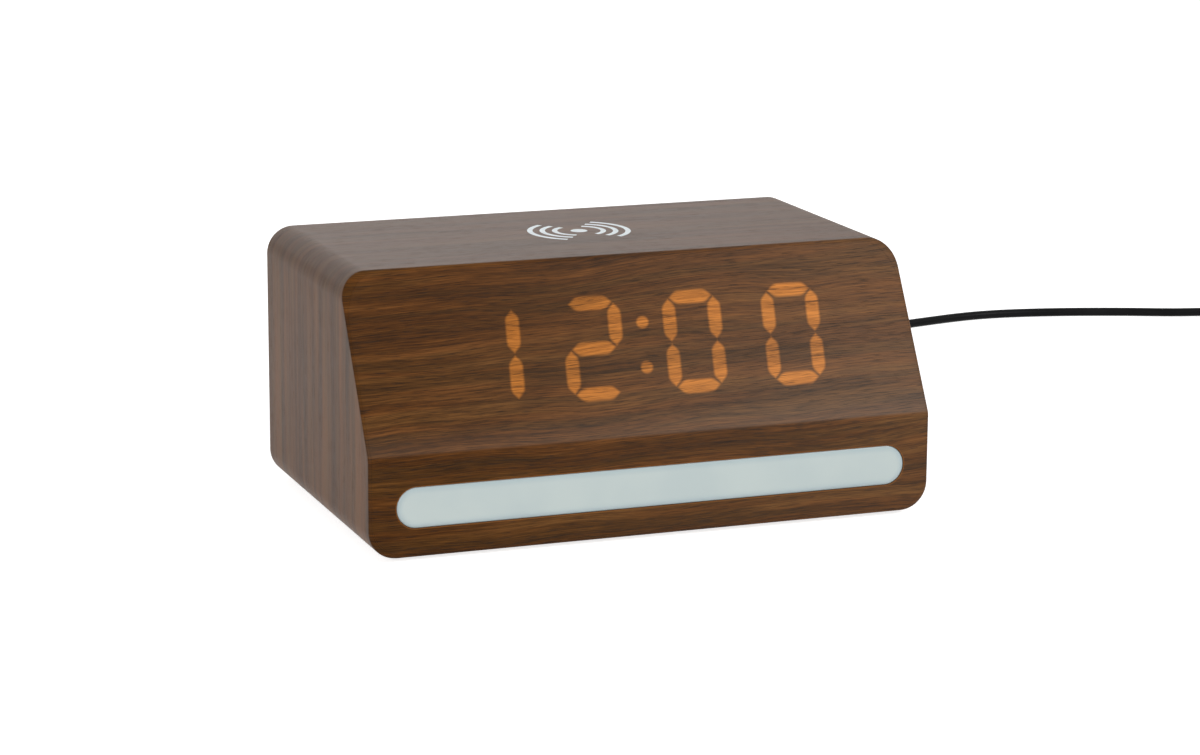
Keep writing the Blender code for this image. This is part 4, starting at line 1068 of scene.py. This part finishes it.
class CLOCK_OT_case_wrap(bpy.types.Operator):
    """The veneered sleeve, with eased edges whose cut veneer shows as a paler line"""

    bl_idname = "clock.case_wrap"
    bl_label = "Case sleeve"

    def execute(self, context):
        look = context.scene.clock_case
        wood = material_of("walnut_wrap", wrap_wood, look, IOR=WRAP_GLOSS)
        bm = bmesh.new()
        mark = bm.verts.layers.float.new("edge")
        rings = [self.ring(bm, mark, look, *section) for section in self.sections(look.edge_round)]
        for number, (ring, following) in enumerate(zip(rings, rings[1:] + rings[:1])):
            for face in bridge(bm, ring, following):
                face.material_index = int(number >= len(rings) - EASE_STEPS - 2)
        wrap = object_of("case_sleeve", bm, wood)
        wrap.data.materials.append(front_wood(context))
        seat = turned("seat", [(0.0058, BASE - OVERRUN), (0.0058, BASE + FOOT_SEAT)], upright=True)
        seats = grown("seats", copies_tree(), {"Piece": seat, "Material": wood}, foot_places())
        bpy.data.objects.remove(seat)
        combine(wrap, seats)
        hand_over(smoothed(wrap), "clock", "walnut", "case_wrap")
        return {"FINISHED"}

    def sections(self, edge):
        """(inset, depth from the front or None, place or None, edge mark) round the wall, front last."""
        angles = [math.pi / 2 * step / EASE_STEPS for step in range(EASE_STEPS + 1)]
        inner_front = PANEL_DEPTH + GAP
        yield WALL, inner_front, None, 0
        yield WALL, None, BACK - edge, 0
        for angle in angles[1:]:
            yield WALL - edge * (1 - math.cos(angle)), None, BACK - edge * (1 - math.sin(angle)), 1
        for angle in angles[::-1]:
            yield edge * (1 - math.cos(angle)), None, BACK - edge * (1 - math.sin(angle)), 1
        yield 0, None, BACK - 2 * edge, 0
        yield 0, 2 * edge, None, 0
        for angle in angles:
            yield edge * (1 - math.cos(angle)), edge * (1 - math.sin(angle)), None, 0
        yield edge, inner_front, None, 0

    def ring(self, bm, mark, look, inset, depth, place, edge):
        eased_corner = look.corner_ease * inset / look.edge_round if place is None and inset < WALL else 0
        right = right_edge(inset, look.kink_ease, eased_corner)
        loop = right + [(-half, z) for half, z in reversed(right)]
        made = []
        for x, z in loop:
            y = front_at(z, look.kink_ease) + depth if place is None else place
            vertex = bm.verts.new((x, y, z))
            vertex[mark] = edge
            made.append(vertex)
        return made


def foot_places():
    """A point on the ground below each foot's middle, less that middle."""
    places = []
    for number in range(1, 5):
        low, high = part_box(f"foot_{number}")
        places.append(((low.x + high.x) / 2, (low.y + high.y) / 2, 0))
    return places


class CLOCK_OT_corner_blocks(bpy.types.Operator):
    """The glued blocks inside the sleeve that take the cover's screws"""

    bl_idname = "clock.corner_blocks"
    bl_label = "Corner blocks"

    def execute(self, context):
        wood = material_of("walnut_wrap", wrap_wood, context.scene.clock_case, IOR=WRAP_GLOSS)
        back = COVER_FRONT - GAP
        side = BLOCK_SIDE
        outline = rounded(side, side, side / 12, 3)
        block = smoothed(slab("block", outline, back - BLOCK_LENGTH, back), side / 40)
        places = [(x, 0, z) for x, z in (middle_of(f"cover_screw_{n}") for n in range(1, 5))]
        blocks = grown("corner_blocks", copies_tree(), {"Piece": block, "Material": wood}, places)
        bpy.data.objects.remove(block)
        hand_over(blocks, "clock", "walnut")
        return {"FINISHED"}


class CLOCK_OT_front_panel(bpy.types.Operator):
    """The kinked front board, with the light's slot and the digits shining through"""

    bl_idname = "clock.front_panel"
    bl_label = "Front board"

    def execute(self, context):
        look = context.scene.clock_case
        right = right_edge(look.edge_round + HAIRLINE, look.kink_ease, look.corner_ease)
        bm = bmesh.new()
        sheets = []
        for depth in (0, PANEL_DEPTH):
            sides = [
                [bm.verts.new((side * half, front_at(z, look.kink_ease) + depth, z)) for half, z in right]
                for side in (1, -1)
            ]
            for here in range(len(right) - 1):
                bm.faces.new((sides[0][here], sides[0][here + 1], sides[1][here + 1], sides[1][here]))
            sheets.append(sides[0] + sides[1][::-1])
        bridge(bm, *sheets)
        panel = object_of("front_board", bm, front_wood(context))
        slot = stadium(LIGHT_LENGTH + 2 * SLOT_GAP, LIGHT_HEIGHT + 2 * SLOT_GAP)
        tool = slab("slot", slot, FRONT - OVERRUN, FRONT + PANEL_DEPTH + OVERRUN, (0, LIGHT_Z))
        combine(panel, tool)
        hand_over(smoothed(panel), "clock", "walnut", "front_panel")
        return {"FINISHED"}


class CLOCK_OT_light_bar(bpy.types.Operator):
    """The frosted bar, crowned in front and held by its flange behind the board"""

    bl_idname = "clock.light_bar"
    bl_label = "Light bar"

    def execute(self, context):
        look = context.scene.clock_light
        clear = material_of("frosted_bar", frosted, look.lens_colour)
        flange_front = FRONT + PANEL_DEPTH + GAP
        sections = [
            (-LENS_FLANGE, LENS_HIGH.y),
            (-LENS_FLANGE, flange_front),
            (0, flange_front),
            (0, FRONT + look.crown),
        ]
        for step in range(1, LENS_ROUND_STEPS + 1):
            angle = math.pi / 2 * step / LENS_ROUND_STEPS
            sections.append((LENS_ROUND * (1 - math.cos(angle)), FRONT + look.crown * (1 - math.sin(angle))))
        sections.append((LIGHT_HEIGHT / 2 * 0.98, FRONT))
        bm = bmesh.new()
        rings = []
        for inset, y in sections:
            outline = stadium(LIGHT_LENGTH - 2 * inset, LIGHT_HEIGHT - 2 * inset)
            rings.append([bm.verts.new((x, y, LIGHT_Z + z)) for x, z in outline])
        for ring, following in zip(rings, rings[1:]):
            bridge(bm, ring, following)
        bm.faces.new(rings[0])
        bm.faces.new(rings[-1])
        bar = object_of("frosted_light_bar", bm, clear)
        hand_over(smoothed(bar), "clock", "frosted_plastic", "light_lens")
        return {"FINISHED"}


class CLOCK_OT_charging_mark(bpy.types.Operator):
    """The printed mark over the charging coil: a dot between two sets of arcs"""

    bl_idname = "clock.charging_mark"
    bl_label = "Charging mark"

    def execute(self, context):
        look = context.scene.clock_mark
        ink = material_of("mark_ink", printed, look.ink)
        dot = [
            (look.dot_radius * math.cos(a), look.dot_radius * math.sin(a))
            for a in (2 * math.pi * step / SIDES for step in range(SIDES))
        ]
        outlines = [dot]
        for ring in range(3):
            radius = look.first_radius + ring * look.arc_pitch
            half = look.arc_width / 2
            reach = look.arc_half_angle - ring * look.arc_narrowing
            for facing in (0, math.pi):
                outlines.append(sector(radius - half, radius + half, facing, reach, MARK_STEPS))
        bm = bmesh.new()
        for outline in outlines:
            rings = [
                [bm.verts.new((MARK_X + x, MARK_Y + y, z)) for x, y in outline]
                for z in (TOP - INK_DEPTH, TOP + INK_SINK)
            ]
            bridge(bm, *rings)
            for ring in rings:
                bm.faces.new(ring)
        mark = object_of("charging_mark", bm, ink)
        hand_over(mark, "clock", "white_plastic")
        return {"FINISHED"}


class CLOCK_OT_rear_cover(bpy.types.Operator):
    """The textured rear cover with its sound holes and openings"""

    bl_idname = "clock.rear_cover"
    bl_label = "Rear cover"

    def execute(self, context):
        look = context.scene.clock_rear
        black = black_moulding(look)
        width = COVER_HIGH.x - COVER_LOW.x
        height = COVER_HIGH.z - COVER_LOW.z
        middle = middle_of("rear_cover")
        outline = rounded(width, height, CORNER - WALL)
        cover = slab("rear_cover_plate", outline, COVER_FRONT, COVER_BACK, middle, black)
        through = (COVER_FRONT - OVERRUN, COVER_BACK + OVERRUN)
        holes = [(middle_of(f"{name}_button"), BUTTON_RADIUS + GAP) for name in BUTTON_NAMES]
        holes += [(middle_of(f"cover_screw_{n}"), SCREW_RADIUS + GAP) for n in range(1, 5)]
        holes.append((middle_of("power_socket"), SOCKET_OPENING))
        for place, radius in holes:
            combine(cover, turned("hole", [(radius, through[0]), (radius, through[1])], place))
        combine(cover, slab("opening", self.cap_outline(), *through, middle_of("cell_cap")))
        x, z = middle_of("sounder")
        values = {
            "Pitch": look.hole_pitch,
            "Hole radius": look.hole_radius,
            "Depth": through[1] - through[0],
            "Middle": (x, (through[0] + through[1]) / 2, z),
            "Material": black,
        }
        combine(cover, grown("sound_holes", perforation_tree(look.hole_rings), values))
        hand_over(smoothed(cover, 0.0003), "clock", "black_plastic", "rear_cover")
        return {"FINISHED"}

    def cap_outline(self):
        """The cap's opening, with a notch for each of its lugs."""
        notch = CAP_NECK_RADIUS + LUG_REACH + GAP
        points = []
        for start in (0, math.pi):
            middle = start - CAP_TURN
            first, last = middle - NOTCH_HALF_ANGLE, middle + NOTCH_HALF_ANGLE
            for step in range(ARC_STEPS + 1):
                points.append((notch, first + (last - first) * step / ARC_STEPS))
            rest = math.pi - (last - first)
            for step in range(2 * ARC_STEPS + 1):
                points.append((CAP_RADIUS + GAP, last + rest * step / (2 * ARC_STEPS)))
        return [(radius * math.cos(a), radius * math.sin(a)) for radius, a in points]


class CLOCK_OT_buttons(bpy.types.Operator):
    """The five dished rubber buttons in the cover's row"""

    bl_idname = "clock.buttons"
    bl_label = "Buttons"

    def execute(self, context):
        rubber = soft_rubber(context.scene.clock_rear)
        for name in BUTTON_NAMES:
            low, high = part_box(f"{name}_button")
            flange = (high.x - low.x) / 2
            flange_back = COVER_FRONT - GAP
            flange_front = flange_back - BUTTON_FLANGE_DEPTH
            dish = BUTTON_RADIUS / 12
            profile = [
                (BUTTON_POST, low.y),
                (BUTTON_POST, flange_front),
                (flange, flange_front, GAP),
                (flange, flange_back, GAP),
                (BUTTON_RADIUS, flange_back),
                (BUTTON_RADIUS, high.y, BUTTON_RADIUS / 5),
                (BUTTON_RADIUS * 0.66, high.y, BUTTON_RADIUS / 8),
                (BUTTON_RADIUS * 0.40, high.y - dish, BUTTON_RADIUS / 8),
                (BUTTON_RADIUS * 0.05, high.y - dish),
            ]
            button = turned(f"{name}_key", eased(profile), middle_of(f"{name}_button"), rubber)
            hand_over(smoothed(button), f"{name}_button", "button_rubber", f"{name}_button")
        return {"FINISHED"}


class CLOCK_OT_cover_screws(bpy.types.Operator):
    """The four black screws that hold the rear cover"""

    bl_idname = "clock.cover_screws"
    bl_label = "Cover screws"

    def execute(self, context):
        metal = black_metal()
        low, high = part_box("cover_screw_1")
        head_radius = (high.x - low.x) / 2
        profile = [
            (SCREW_RADIUS * 0.5, low.y),
            (SCREW_RADIUS, low.y + SCREW_RADIUS * 1.5),
            (SCREW_RADIUS, high.y - SCREW_HEAD),
            (head_radius, high.y - SCREW_HEAD),
            (head_radius, high.y - SCREW_HEAD * 0.4, SCREW_HEAD / 4),
            (head_radius * 0.72, high.y, SCREW_HEAD / 3),
            (head_radius * 0.1, high.y),
        ]
        screw = turned("screw", eased(profile), material=metal)
        for length, width in ((CROSS_LENGTH, CROSS_WIDTH), (CROSS_WIDTH, CROSS_LENGTH)):
            arm = rounded(length, width, CROSS_WIDTH / 4, 3)
            combine(screw, slab("cross", arm, high.y - CROSS_DEPTH, high.y + OVERRUN))
        smoothed(screw)
        nodes = [f"cover_screw_{n}" for n in range(1, 5)]
        places = [(x, 0, z) for x, z in map(middle_of, nodes)]
        screws = grown("cover_screws", copies_tree(), {"Piece": screw, "Material": metal}, places)
        bpy.data.objects.remove(screw)
        hand_over(screws, "clock", "black_screw", *nodes)
        return {"FINISHED"}


class CLOCK_OT_cell_cap(bpy.types.Operator):
    """The coin cell's cap with its coin slot and two lugs"""

    bl_idname = "clock.cell_cap"
    bl_label = "Cell cap"

    def execute(self, context):
        black = black_moulding(context.scene.clock_rear)
        low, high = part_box("cell_cap")
        place = middle_of("cell_cap")
        neck = COVER_FRONT - CAP_NECK_DEPTH
        profile = [
            (CAP_BOSS_RADIUS, low.y),
            (CAP_BOSS_RADIUS, neck),
            (CAP_NECK_RADIUS, neck, GAP),
            (CAP_NECK_RADIUS, COVER_FRONT),
            (CAP_RADIUS, COVER_FRONT),
            (CAP_RADIUS, high.y, GAP),
            (CAP_RADIUS * 0.86, high.y, GAP / 2),
            (CAP_RADIUS * 0.84, high.y - GAP, GAP / 2),
            (CAP_RADIUS * 0.1, high.y - GAP),
        ]
        cap = turned("coin_cell_cap", eased(profile), place, black)
        lug_back = COVER_FRONT - GAP
        for start in (0, math.pi):
            lug = sector(CAP_NECK_RADIUS - LUG_REACH, CAP_NECK_RADIUS + LUG_REACH, start, LUG_HALF_ANGLE)
            combine(cap, slab("lug", lug, lug_back - LUG_DEPTH, lug_back, place), "UNION")
        slot = stadium(COIN_SLOT_LENGTH, COIN_SLOT_WIDTH)
        combine(cap, slab("slot", slot, high.y - COIN_SLOT_DEPTH - GAP, high.y + OVERRUN, place))
        hand_over(smoothed(cap), "cell_cap", "black_plastic", "cell_cap")
        return {"FINISHED"}


class CLOCK_OT_feet(bpy.types.Operator):
    """The four rubber feet let into the underside"""

    bl_idname = "clock.feet"
    bl_label = "Feet"

    def execute(self, context):
        rubber = soft_rubber(context.scene.clock_rear)
        low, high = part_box("foot_1")
        radius = (high.x - low.x) / 2
        profile = [
            (radius * 0.1, 0),
            (radius, 0, radius / 10),
            (radius, high.z, radius / 20),
            (radius * 0.1, high.z),
        ]
        foot = smoothed(turned("foot", eased(profile), material=rubber, upright=True))
        feet = grown("rubber_feet", copies_tree(), {"Piece": foot, "Material": rubber}, foot_places())
        bpy.data.objects.remove(foot)
        hand_over(feet, "clock", "foot_rubber", *[f"foot_{n}" for n in range(1, 5)])
        return {"FINISHED"}


class CLOCK_OT_cord_plug(bpy.types.Operator):
    """The moulding at the clock's socket, with its ribbed and tapered strain relief"""

    bl_idname = "clock.cord_plug"
    bl_label = "Plug at the clock"

    def execute(self, context):
        look = context.scene.clock_cord
        rubber = cord_rubber(look)
        low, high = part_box("cord_plug")
        place = middle_of("cord_plug")
        taper = high.y - RELIEF_LENGTH
        inside = BARREL_RADIUS + GAP
        profile = [
            (inside, low.y + GAP),
            (inside, low.y),
            (PLUG_RADIUS, low.y, PLUG_RADIUS / 8),
            (PLUG_RADIUS, taper - PLUG_RADIUS, PLUG_RADIUS / 6),
            (PLUG_RADIUS * 0.84, taper, PLUG_RADIUS / 6),
            (RELIEF_RADIUS - look.rib_radius / 2, high.y, GAP),
            (CORD_DIAMETER / 2 - LIP_BITE, high.y + LIP_LENGTH),
        ]
        moulding = turned("plug_moulding", eased(profile), place, rubber)
        rib = turned("rib", self.rib_profile(look.rib_radius), material=rubber, closed=True)
        step = (RELIEF_LENGTH - 2 * look.rib_radius) / (look.rib_count - 0.5)
        last_size = RELIEF_RADIUS / PLUG_RADIUS
        first_size = last_size + 0.26
        values = {
            "Piece": rib,
            "Count": look.rib_count,
            "Start": (place[0], taper + step / 2, place[1]),
            "Step": (0, step, 0),
            "First size": first_size,
            "Growth": (last_size - first_size) / (look.rib_count - 1),
            "Material": rubber,
        }
        ribs = grown("relief_ribs", row_tree(), values)
        bpy.data.objects.remove(rib)
        combine(moulding, ribs, "UNION")
        hand_over(smoothed(moulding), "clock", "cord_moulding", "cord_plug")
        return {"FINISHED"}

    def rib_profile(self, radius):
        """A rib's round section, its outside at the plug's own radius."""
        middle = PLUG_RADIUS - radius
        angles = [2 * math.pi * step / ARC_STEPS for step in range(ARC_STEPS)]
        return [(middle + radius * math.cos(a), radius * math.sin(a)) for a in angles]


class CLOCK_OT_usb_plug(bpy.types.Operator):
    """The USB plug on the cord's far end"""

    bl_idname = "clock.usb_plug"
    bl_label = "USB plug"

    def execute(self, context):
        look = context.scene.clock_cord
        rubber = cord_rubber(look)
        low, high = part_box("usb_plug")
        place = middle_of("usb_plug")
        body_back = high.y - USB_RELIEF_LENGTH
        outline = rounded(USB_BODY_WIDTH, USB_BODY_HEIGHT, USB_BODY_HEIGHT / 4)
        body = smoothed(slab("usb_moulding", outline, low.y, body_back, place, rubber), 0.0007, 3)
        taper = [
            (USB_BODY_HEIGHT / 2 - GAP, body_back - USB_BODY_HEIGHT / 4),
            (USB_BODY_HEIGHT / 2 - 2 * GAP, body_back + GAP),
            (CORD_DIAMETER / 2 + GAP, high.y, GAP / 2),
            (CORD_DIAMETER / 2 - LIP_BITE, high.y + LIP_LENGTH),
        ]
        combine(body, turned("relief", eased(taper), place, rubber), "UNION")
        seat_low, seat_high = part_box("usb_shell")
        seat = rounded(seat_high.x - seat_low.x + GAP, seat_high.z - seat_low.z + GAP, GAP, 3)
        combine(body, slab("seat", seat, low.y - OVERRUN, seat_high.y + GAP, place))
        groove = slab("groove", rounded(USB_BODY_WIDTH / 2, GAP * 2, GAP * 0.9, 3), -GAP, GAP)
        rows = row_tree()
        for side in (-1, 1):
            values = {
                "Piece": groove,
                "Count": 6,
                "Start": (place[0], body_back - USB_BODY_LENGTH / 8, place[1] + side * USB_BODY_HEIGHT / 2),
                "Step": (0, -USB_BODY_LENGTH / 16, 0),
                "First size": 1.0,
                "Growth": 0.0,
                "Material": rubber,
            }
            combine(body, grown("grip_grooves", rows, values))
        bpy.data.objects.remove(groove)
        hand_over(smoothed(body), "clock", "cord_moulding", "usb_plug")
        self.shell(place)
        return {"FINISHED"}

    def shell(self, place):
        """The folded metal shell with its four windows."""
        low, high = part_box("usb_shell")
        width, height = high.x - low.x, high.z - low.z
        shell = slab("usb_metal_shell", rounded(width, height, SHELL_WALL * 2, 4), low.y, high.y, place, bright_metal())
        inside = rounded(width - 2 * SHELL_WALL, height - 2 * SHELL_WALL, SHELL_WALL, 4)
        combine(shell, slab("hollow", inside, low.y - OVERRUN, high.y + OVERRUN, place))
        window = rounded(width / 5, width / 5, SHELL_WALL, 3)
        bm = bmesh.new()
        for side in (-1, 1):
            rings = [
                [bm.verts.new((place[0] + side * width / 4 + x, low.y + width / 2 + y, z)) for x, y in window]
                for z in (low.z - OVERRUN, high.z + OVERRUN)
            ]
            bridge(bm, *rings)
            for ring in rings:
                bm.faces.new(ring)
        combine(shell, object_of("windows", bm))
        hand_over(smoothed(shell), "clock", "steel", "usb_shell")


class CLOCK_OT_cord_tie(bpy.types.Operator):
    """The strap round the coil, with its end lapped over the top"""

    bl_idname = "clock.cord_tie"
    bl_label = "Cord tie"

    def execute(self, context):
        strap = material_of("strap_weave", woven, (0.014, 0.014, 0.015), 0.0007)
        low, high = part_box("cord_tie")
        place = middle_of("cord_tie")
        width, height = high.x - low.x, high.z - low.z
        tie = slab("cord_strap", rounded(width, height, TIE_CORNER), low.y, high.y, place, strap)
        inside = rounded(width - 2 * TIE_THICKNESS, height - 2 * TIE_THICKNESS, TIE_CORNER - TIE_THICKNESS)
        combine(tie, slab("hollow", inside, low.y - OVERRUN, high.y + OVERRUN, place))
        lap_width = width * 0.55
        lap = rounded(lap_width, TIE_THICKNESS, TIE_THICKNESS / 3, 3)
        above = (place[0] - width * 0.12, place[1] + (height + TIE_THICKNESS * 0.8) / 2)
        combine(tie, slab("lap", lap, low.y + GAP, high.y - GAP, above), "UNION")
        hand_over(smoothed(tie, 0.00015), "clock", "strap", "cord_tie")
        return {"FINISHED"}


def smooth_route(route, step):
    """Points about step apart on a smooth curve through the route's points."""
    route = np.array(route)
    ends = np.vstack([2 * route[0] - route[1], route, 2 * route[-1] - route[-2]])
    points = [route[0]]
    for here in range(1, len(ends) - 2):
        a, b, c, d = ends[here - 1 : here + 3]
        count = max(1, round(np.linalg.norm(c - b) / step))
        for t in np.arange(1, count + 1) / count:
            curve = (c - a) * t + (2 * a - 5 * b + 4 * c - d) * t**2 + (3 * b - a - 3 * c + d) * t**3
            points.append(b + curve / 2)
    return points


def coil_points():
    """Loops that spiral in on the ground, climb a layer and spiral out again on top."""
    start = np.array(COIL_START)
    spread = COIL_PITCH * COIL_TURNS / 4
    centre = start - (COIL_MEAN_RADIUS + spread, CORD_DIAMETER, 0)
    points = [start]
    for step in range(COIL_TURNS * COIL_STEPS + 1):
        turn = step / COIL_STEPS
        from_middle = turn - COIL_TURNS / 2
        radius = COIL_MEAN_RADIUS - spread + COIL_PITCH * abs(from_middle)
        climbed = min(max(from_middle / 0.5 + 0.5, 0), 1)
        height = COIL_LAYER * climbed**2 * (3 - 2 * climbed)
        angle = -2 * math.pi * turn
        points.append(centre + (radius * math.cos(angle), radius * math.sin(angle), height))
    points.append(points[-1] - (0, CORD_DIAMETER, 0))
    return points


class CLOCK_OT_cord(bpy.types.Operator):
    """The whole cord: along the ground, into its coil and on to the USB plug"""

    bl_idname = "clock.cord"
    bl_label = "Cord"

    def execute(self, context):
        points = smooth_route(CORD_ROUTE, CORD_STEP) + coil_points() + smooth_route(TAIL_ROUTE, CORD_STEP)
        curve = bpy.data.curves.new("power_cord", "CURVE")
        curve.dimensions = "3D"
        curve.bevel_depth = CORD_DIAMETER / 2
        curve.bevel_resolution = 5
        curve.use_fill_caps = True
        spline = curve.splines.new("POLY")
        spline.points.add(len(points) - 1)
        for target, point in zip(spline.points, points):
            target.co = (*point, 1)
        curve.materials.append(cord_rubber(context.scene.clock_cord))
        cord = new_object("power_cord", curve)
        hand_over(cord, "clock", "cord_jacket", "cord", "cord_coil", "cord_tail")
        return {"FINISHED"}


class CLOCK_OT_inner_finishes(bpy.types.Operator):
    """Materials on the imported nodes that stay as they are"""

    bl_idname = "clock.inner_finishes"
    bl_label = "Finishes inside"

    def execute(self, context):
        scene = context.scene
        low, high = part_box("charging_coil")
        coil_middle = ((low.x + high.x) / 2, (low.y + high.y) / 2)
        finishes = {
            "black_plastic": black_moulding(scene.clock_rear),
            "black_screw": black_metal(),
            "frosted_plastic": material_of("frosted_bar", frosted, scene.clock_light.lens_colour),
            "white_plastic": material_of("white_moulding", moulded, linear(232, 232, 228), 0.0006, 0.4),
            "circuit_board": material_of("circuit_board", board_mask, linear(26, 92, 60)),
            "steel": bright_metal(),
            "copper": material_of("copper_winding", winding, linear(196, 118, 72), *coil_middle, Metallic=0.9),
            "ferrite": material_of("sintered_ferrite", moulded, linear(74, 74, 78), 0.0009, 0.62),
            "ribbon": material_of("flat_cable", striped, linear(196, 198, 202), 0.00127),
            "cord_jacket": cord_rubber(scene.clock_cord),
            "cord_moulding": cord_rubber(scene.clock_cord),
            "button_rubber": soft_rubber(scene.clock_rear),
            "foot_rubber": soft_rubber(scene.clock_rear),
        }
        for row in frame["record"]["subparts"]:
            node = frame["nodes"][row["node"]]
            if not node.hide_render:
                for holder in node.material_slots:
                    holder.material = finishes[row["material_slot"]]
        return {"FINISHED"}


class CLOCK_OT_stage(bpy.types.Operator):
    """Pale floor, soft lamps, pale surroundings and the camera"""

    bl_idname = "clock.stage"
    bl_label = "Stage and camera"

    def execute(self, context):
        look = context.scene.clock_stage
        kept = {*frame["nodes"].values(), *frame["bodies"].values()}
        for old in set(bpy.data.objects) - kept:
            bpy.data.objects.remove(old)
        context.scene.view_settings.view_transform = "Standard"
        self.floor(look)
        self.surroundings(context.scene, look)
        self.lamp("key_lamp", (0.98, -0.98, 0.98), (0.6, 0.6), look.key_power)
        self.lamp("front_lamp", (-1.15, -1.50, 0.55), (1.1, 1.1), look.front_power)
        self.lamp("rear_lamp", (0.12, 1.75, 0.55), (1.9, 0.8), look.rear_power)
        self.camera(context.scene, look)
        return {"FINISHED"}

    def seen(self, nodes):
        """1 for rays from the camera or off gloss or through glass, and 0 for those that light."""
        rays = [nodes.add("ShaderNodeLightPath", output=f"Is {kind} Ray") for kind in ("Camera", "Glossy", "Transmission")]
        return nodes.most(rays[0], nodes.most(rays[1], rays[2]))

    def floor(self, look):
        material = bpy.data.materials.new("pale_floor")
        material.use_nodes = True
        material.node_tree.nodes.clear()
        nodes = Nodes(material.node_tree)
        lighting = nodes.add("ShaderNodeBsdfDiffuse", inputs={"Color": (*look.floor, 1)})
        shown = nodes.add("ShaderNodeBsdfDiffuse", inputs={"Color": (1, 1, 1, 1)})
        lift = nodes.add("ShaderNodeEmission", inputs={"Color": (1, 1, 1, 1), "Strength": 0.75})
        lifted = nodes.add("ShaderNodeAddShader", inputs={0: shown, 1: lift})
        mixed = nodes.add("ShaderNodeMixShader", inputs={0: self.seen(nodes), 1: lighting, 2: lifted})
        end = material.node_tree.nodes.new("ShaderNodeOutputMaterial")
        material.node_tree.links.new(mixed.socket, end.inputs["Surface"])
        bm = bmesh.new()
        bmesh.ops.create_grid(bm, x_segments=1, y_segments=1, size=FLOOR_SIZE / 2)
        floor = object_of("pale_floor", bm, material)

    def surroundings(self, scene, look):
        world = bpy.data.worlds.new("pale_surroundings")
        world.use_nodes = True
        world.node_tree.nodes.clear()
        nodes = Nodes(world.node_tree)
        lighting = nodes.add("ShaderNodeBackground", inputs={"Strength": look.fill, "Color": (1, 1, 1, 1)})
        shown = nodes.add("ShaderNodeBackground", inputs={"Strength": 1.0, "Color": (1, 1, 1, 1)})
        mixed = nodes.add("ShaderNodeMixShader", inputs={0: self.seen(nodes), 1: lighting, 2: shown})
        end = world.node_tree.nodes.new("ShaderNodeOutputWorld")
        world.node_tree.links.new(mixed.socket, end.inputs["Surface"])
        scene.world = world

    def lamp(self, name, place, size, power):
        light = bpy.data.lights.new(name, "AREA")
        light.shape = "ELLIPSE"
        light.size, light.size_y = size
        light.energy = power
        lamp = new_object(name, light)
        lamp.location = place
        lamp.rotation_euler = (Vector((0, 0, 0.04)) - Vector(place)).to_track_quat("-Z", "Y").to_euler()

    def camera(self, scene, look):
        data = bpy.data.cameras.new("camera")
        data.lens = look.focal_length
        data.sensor_width = 36.0
        data.clip_start = 0.01
        data.clip_end = 100.0
        camera = new_object("camera", data)
        aim = Vector(CAMERA_AIM).normalized()
        right = aim.cross(Vector((0, 0, 1))).normalized()
        up = right.cross(aim)
        turn, rise = math.cos(CAMERA_ROLL), math.sin(CAMERA_ROLL)
        axes = Matrix((right * turn + up * rise, up * turn - right * rise, -aim)).transposed()
        camera.matrix_world = Matrix.Translation(CAMERA_PLACE) @ axes.to_4x4()
        scene.camera = camera


OPERATORS = (
    CLOCK_OT_stage,
    CLOCK_OT_cord_plug,
    CLOCK_OT_cord_tie,
    CLOCK_OT_usb_plug,
    CLOCK_OT_cord,
    CLOCK_OT_case_wrap,
    CLOCK_OT_corner_blocks,
    CLOCK_OT_front_panel,
    CLOCK_OT_light_bar,
    CLOCK_OT_charging_mark,
    CLOCK_OT_rear_cover,
    CLOCK_OT_buttons,
    CLOCK_OT_cover_screws,
    CLOCK_OT_cell_cap,
    CLOCK_OT_feet,
    CLOCK_OT_inner_finishes,
)
SETTINGS = {
    "clock_case": ClockCaseSettings,
    "clock_display": ClockDisplaySettings,
    "clock_light": ClockLightSettings,
    "clock_mark": ClockMarkSettings,
    "clock_rear": ClockRearSettings,
    "clock_cord": ClockCordSettings,
    "clock_stage": ClockStageSettings,
}


class CLOCK_PT_pieces(bpy.types.Panel):
    """Sizes and colours of the clock, and the operators that make its pieces"""

    bl_idname = "CLOCK_PT_pieces"
    bl_label = "Alarm clock"
    bl_space_type = "VIEW_3D"
    bl_region_type = "UI"
    bl_category = "Clock"

    def draw(self, context):
        for name, group in SETTINGS.items():
            box = self.layout.box()
            for setting in group.__annotations__:
                box.prop(getattr(context.scene, name), setting)
        for operator in OPERATORS:
            self.layout.operator(operator.bl_idname)


def register():
    for group in SETTINGS.values():
        bpy.utils.register_class(group)
    for name, group in SETTINGS.items():
        setattr(bpy.types.Scene, name, bpy.props.PointerProperty(type=group))
    for operator in OPERATORS:
        bpy.utils.register_class(operator)
    bpy.utils.register_class(CLOCK_PT_pieces)


def unregister():
    bpy.utils.unregister_class(CLOCK_PT_pieces)
    for operator in reversed(OPERATORS):
        bpy.utils.unregister_class(operator)
    for name in SETTINGS:
        delattr(bpy.types.Scene, name)
    for group in SETTINGS.values():
        bpy.utils.unregister_class(group)


def main():
    register()
    for operator in OPERATORS:
        group, name = operator.bl_idname.split(".")
        getattr(getattr(bpy.ops, group), name)()


if __name__ == "__main__":
    main()
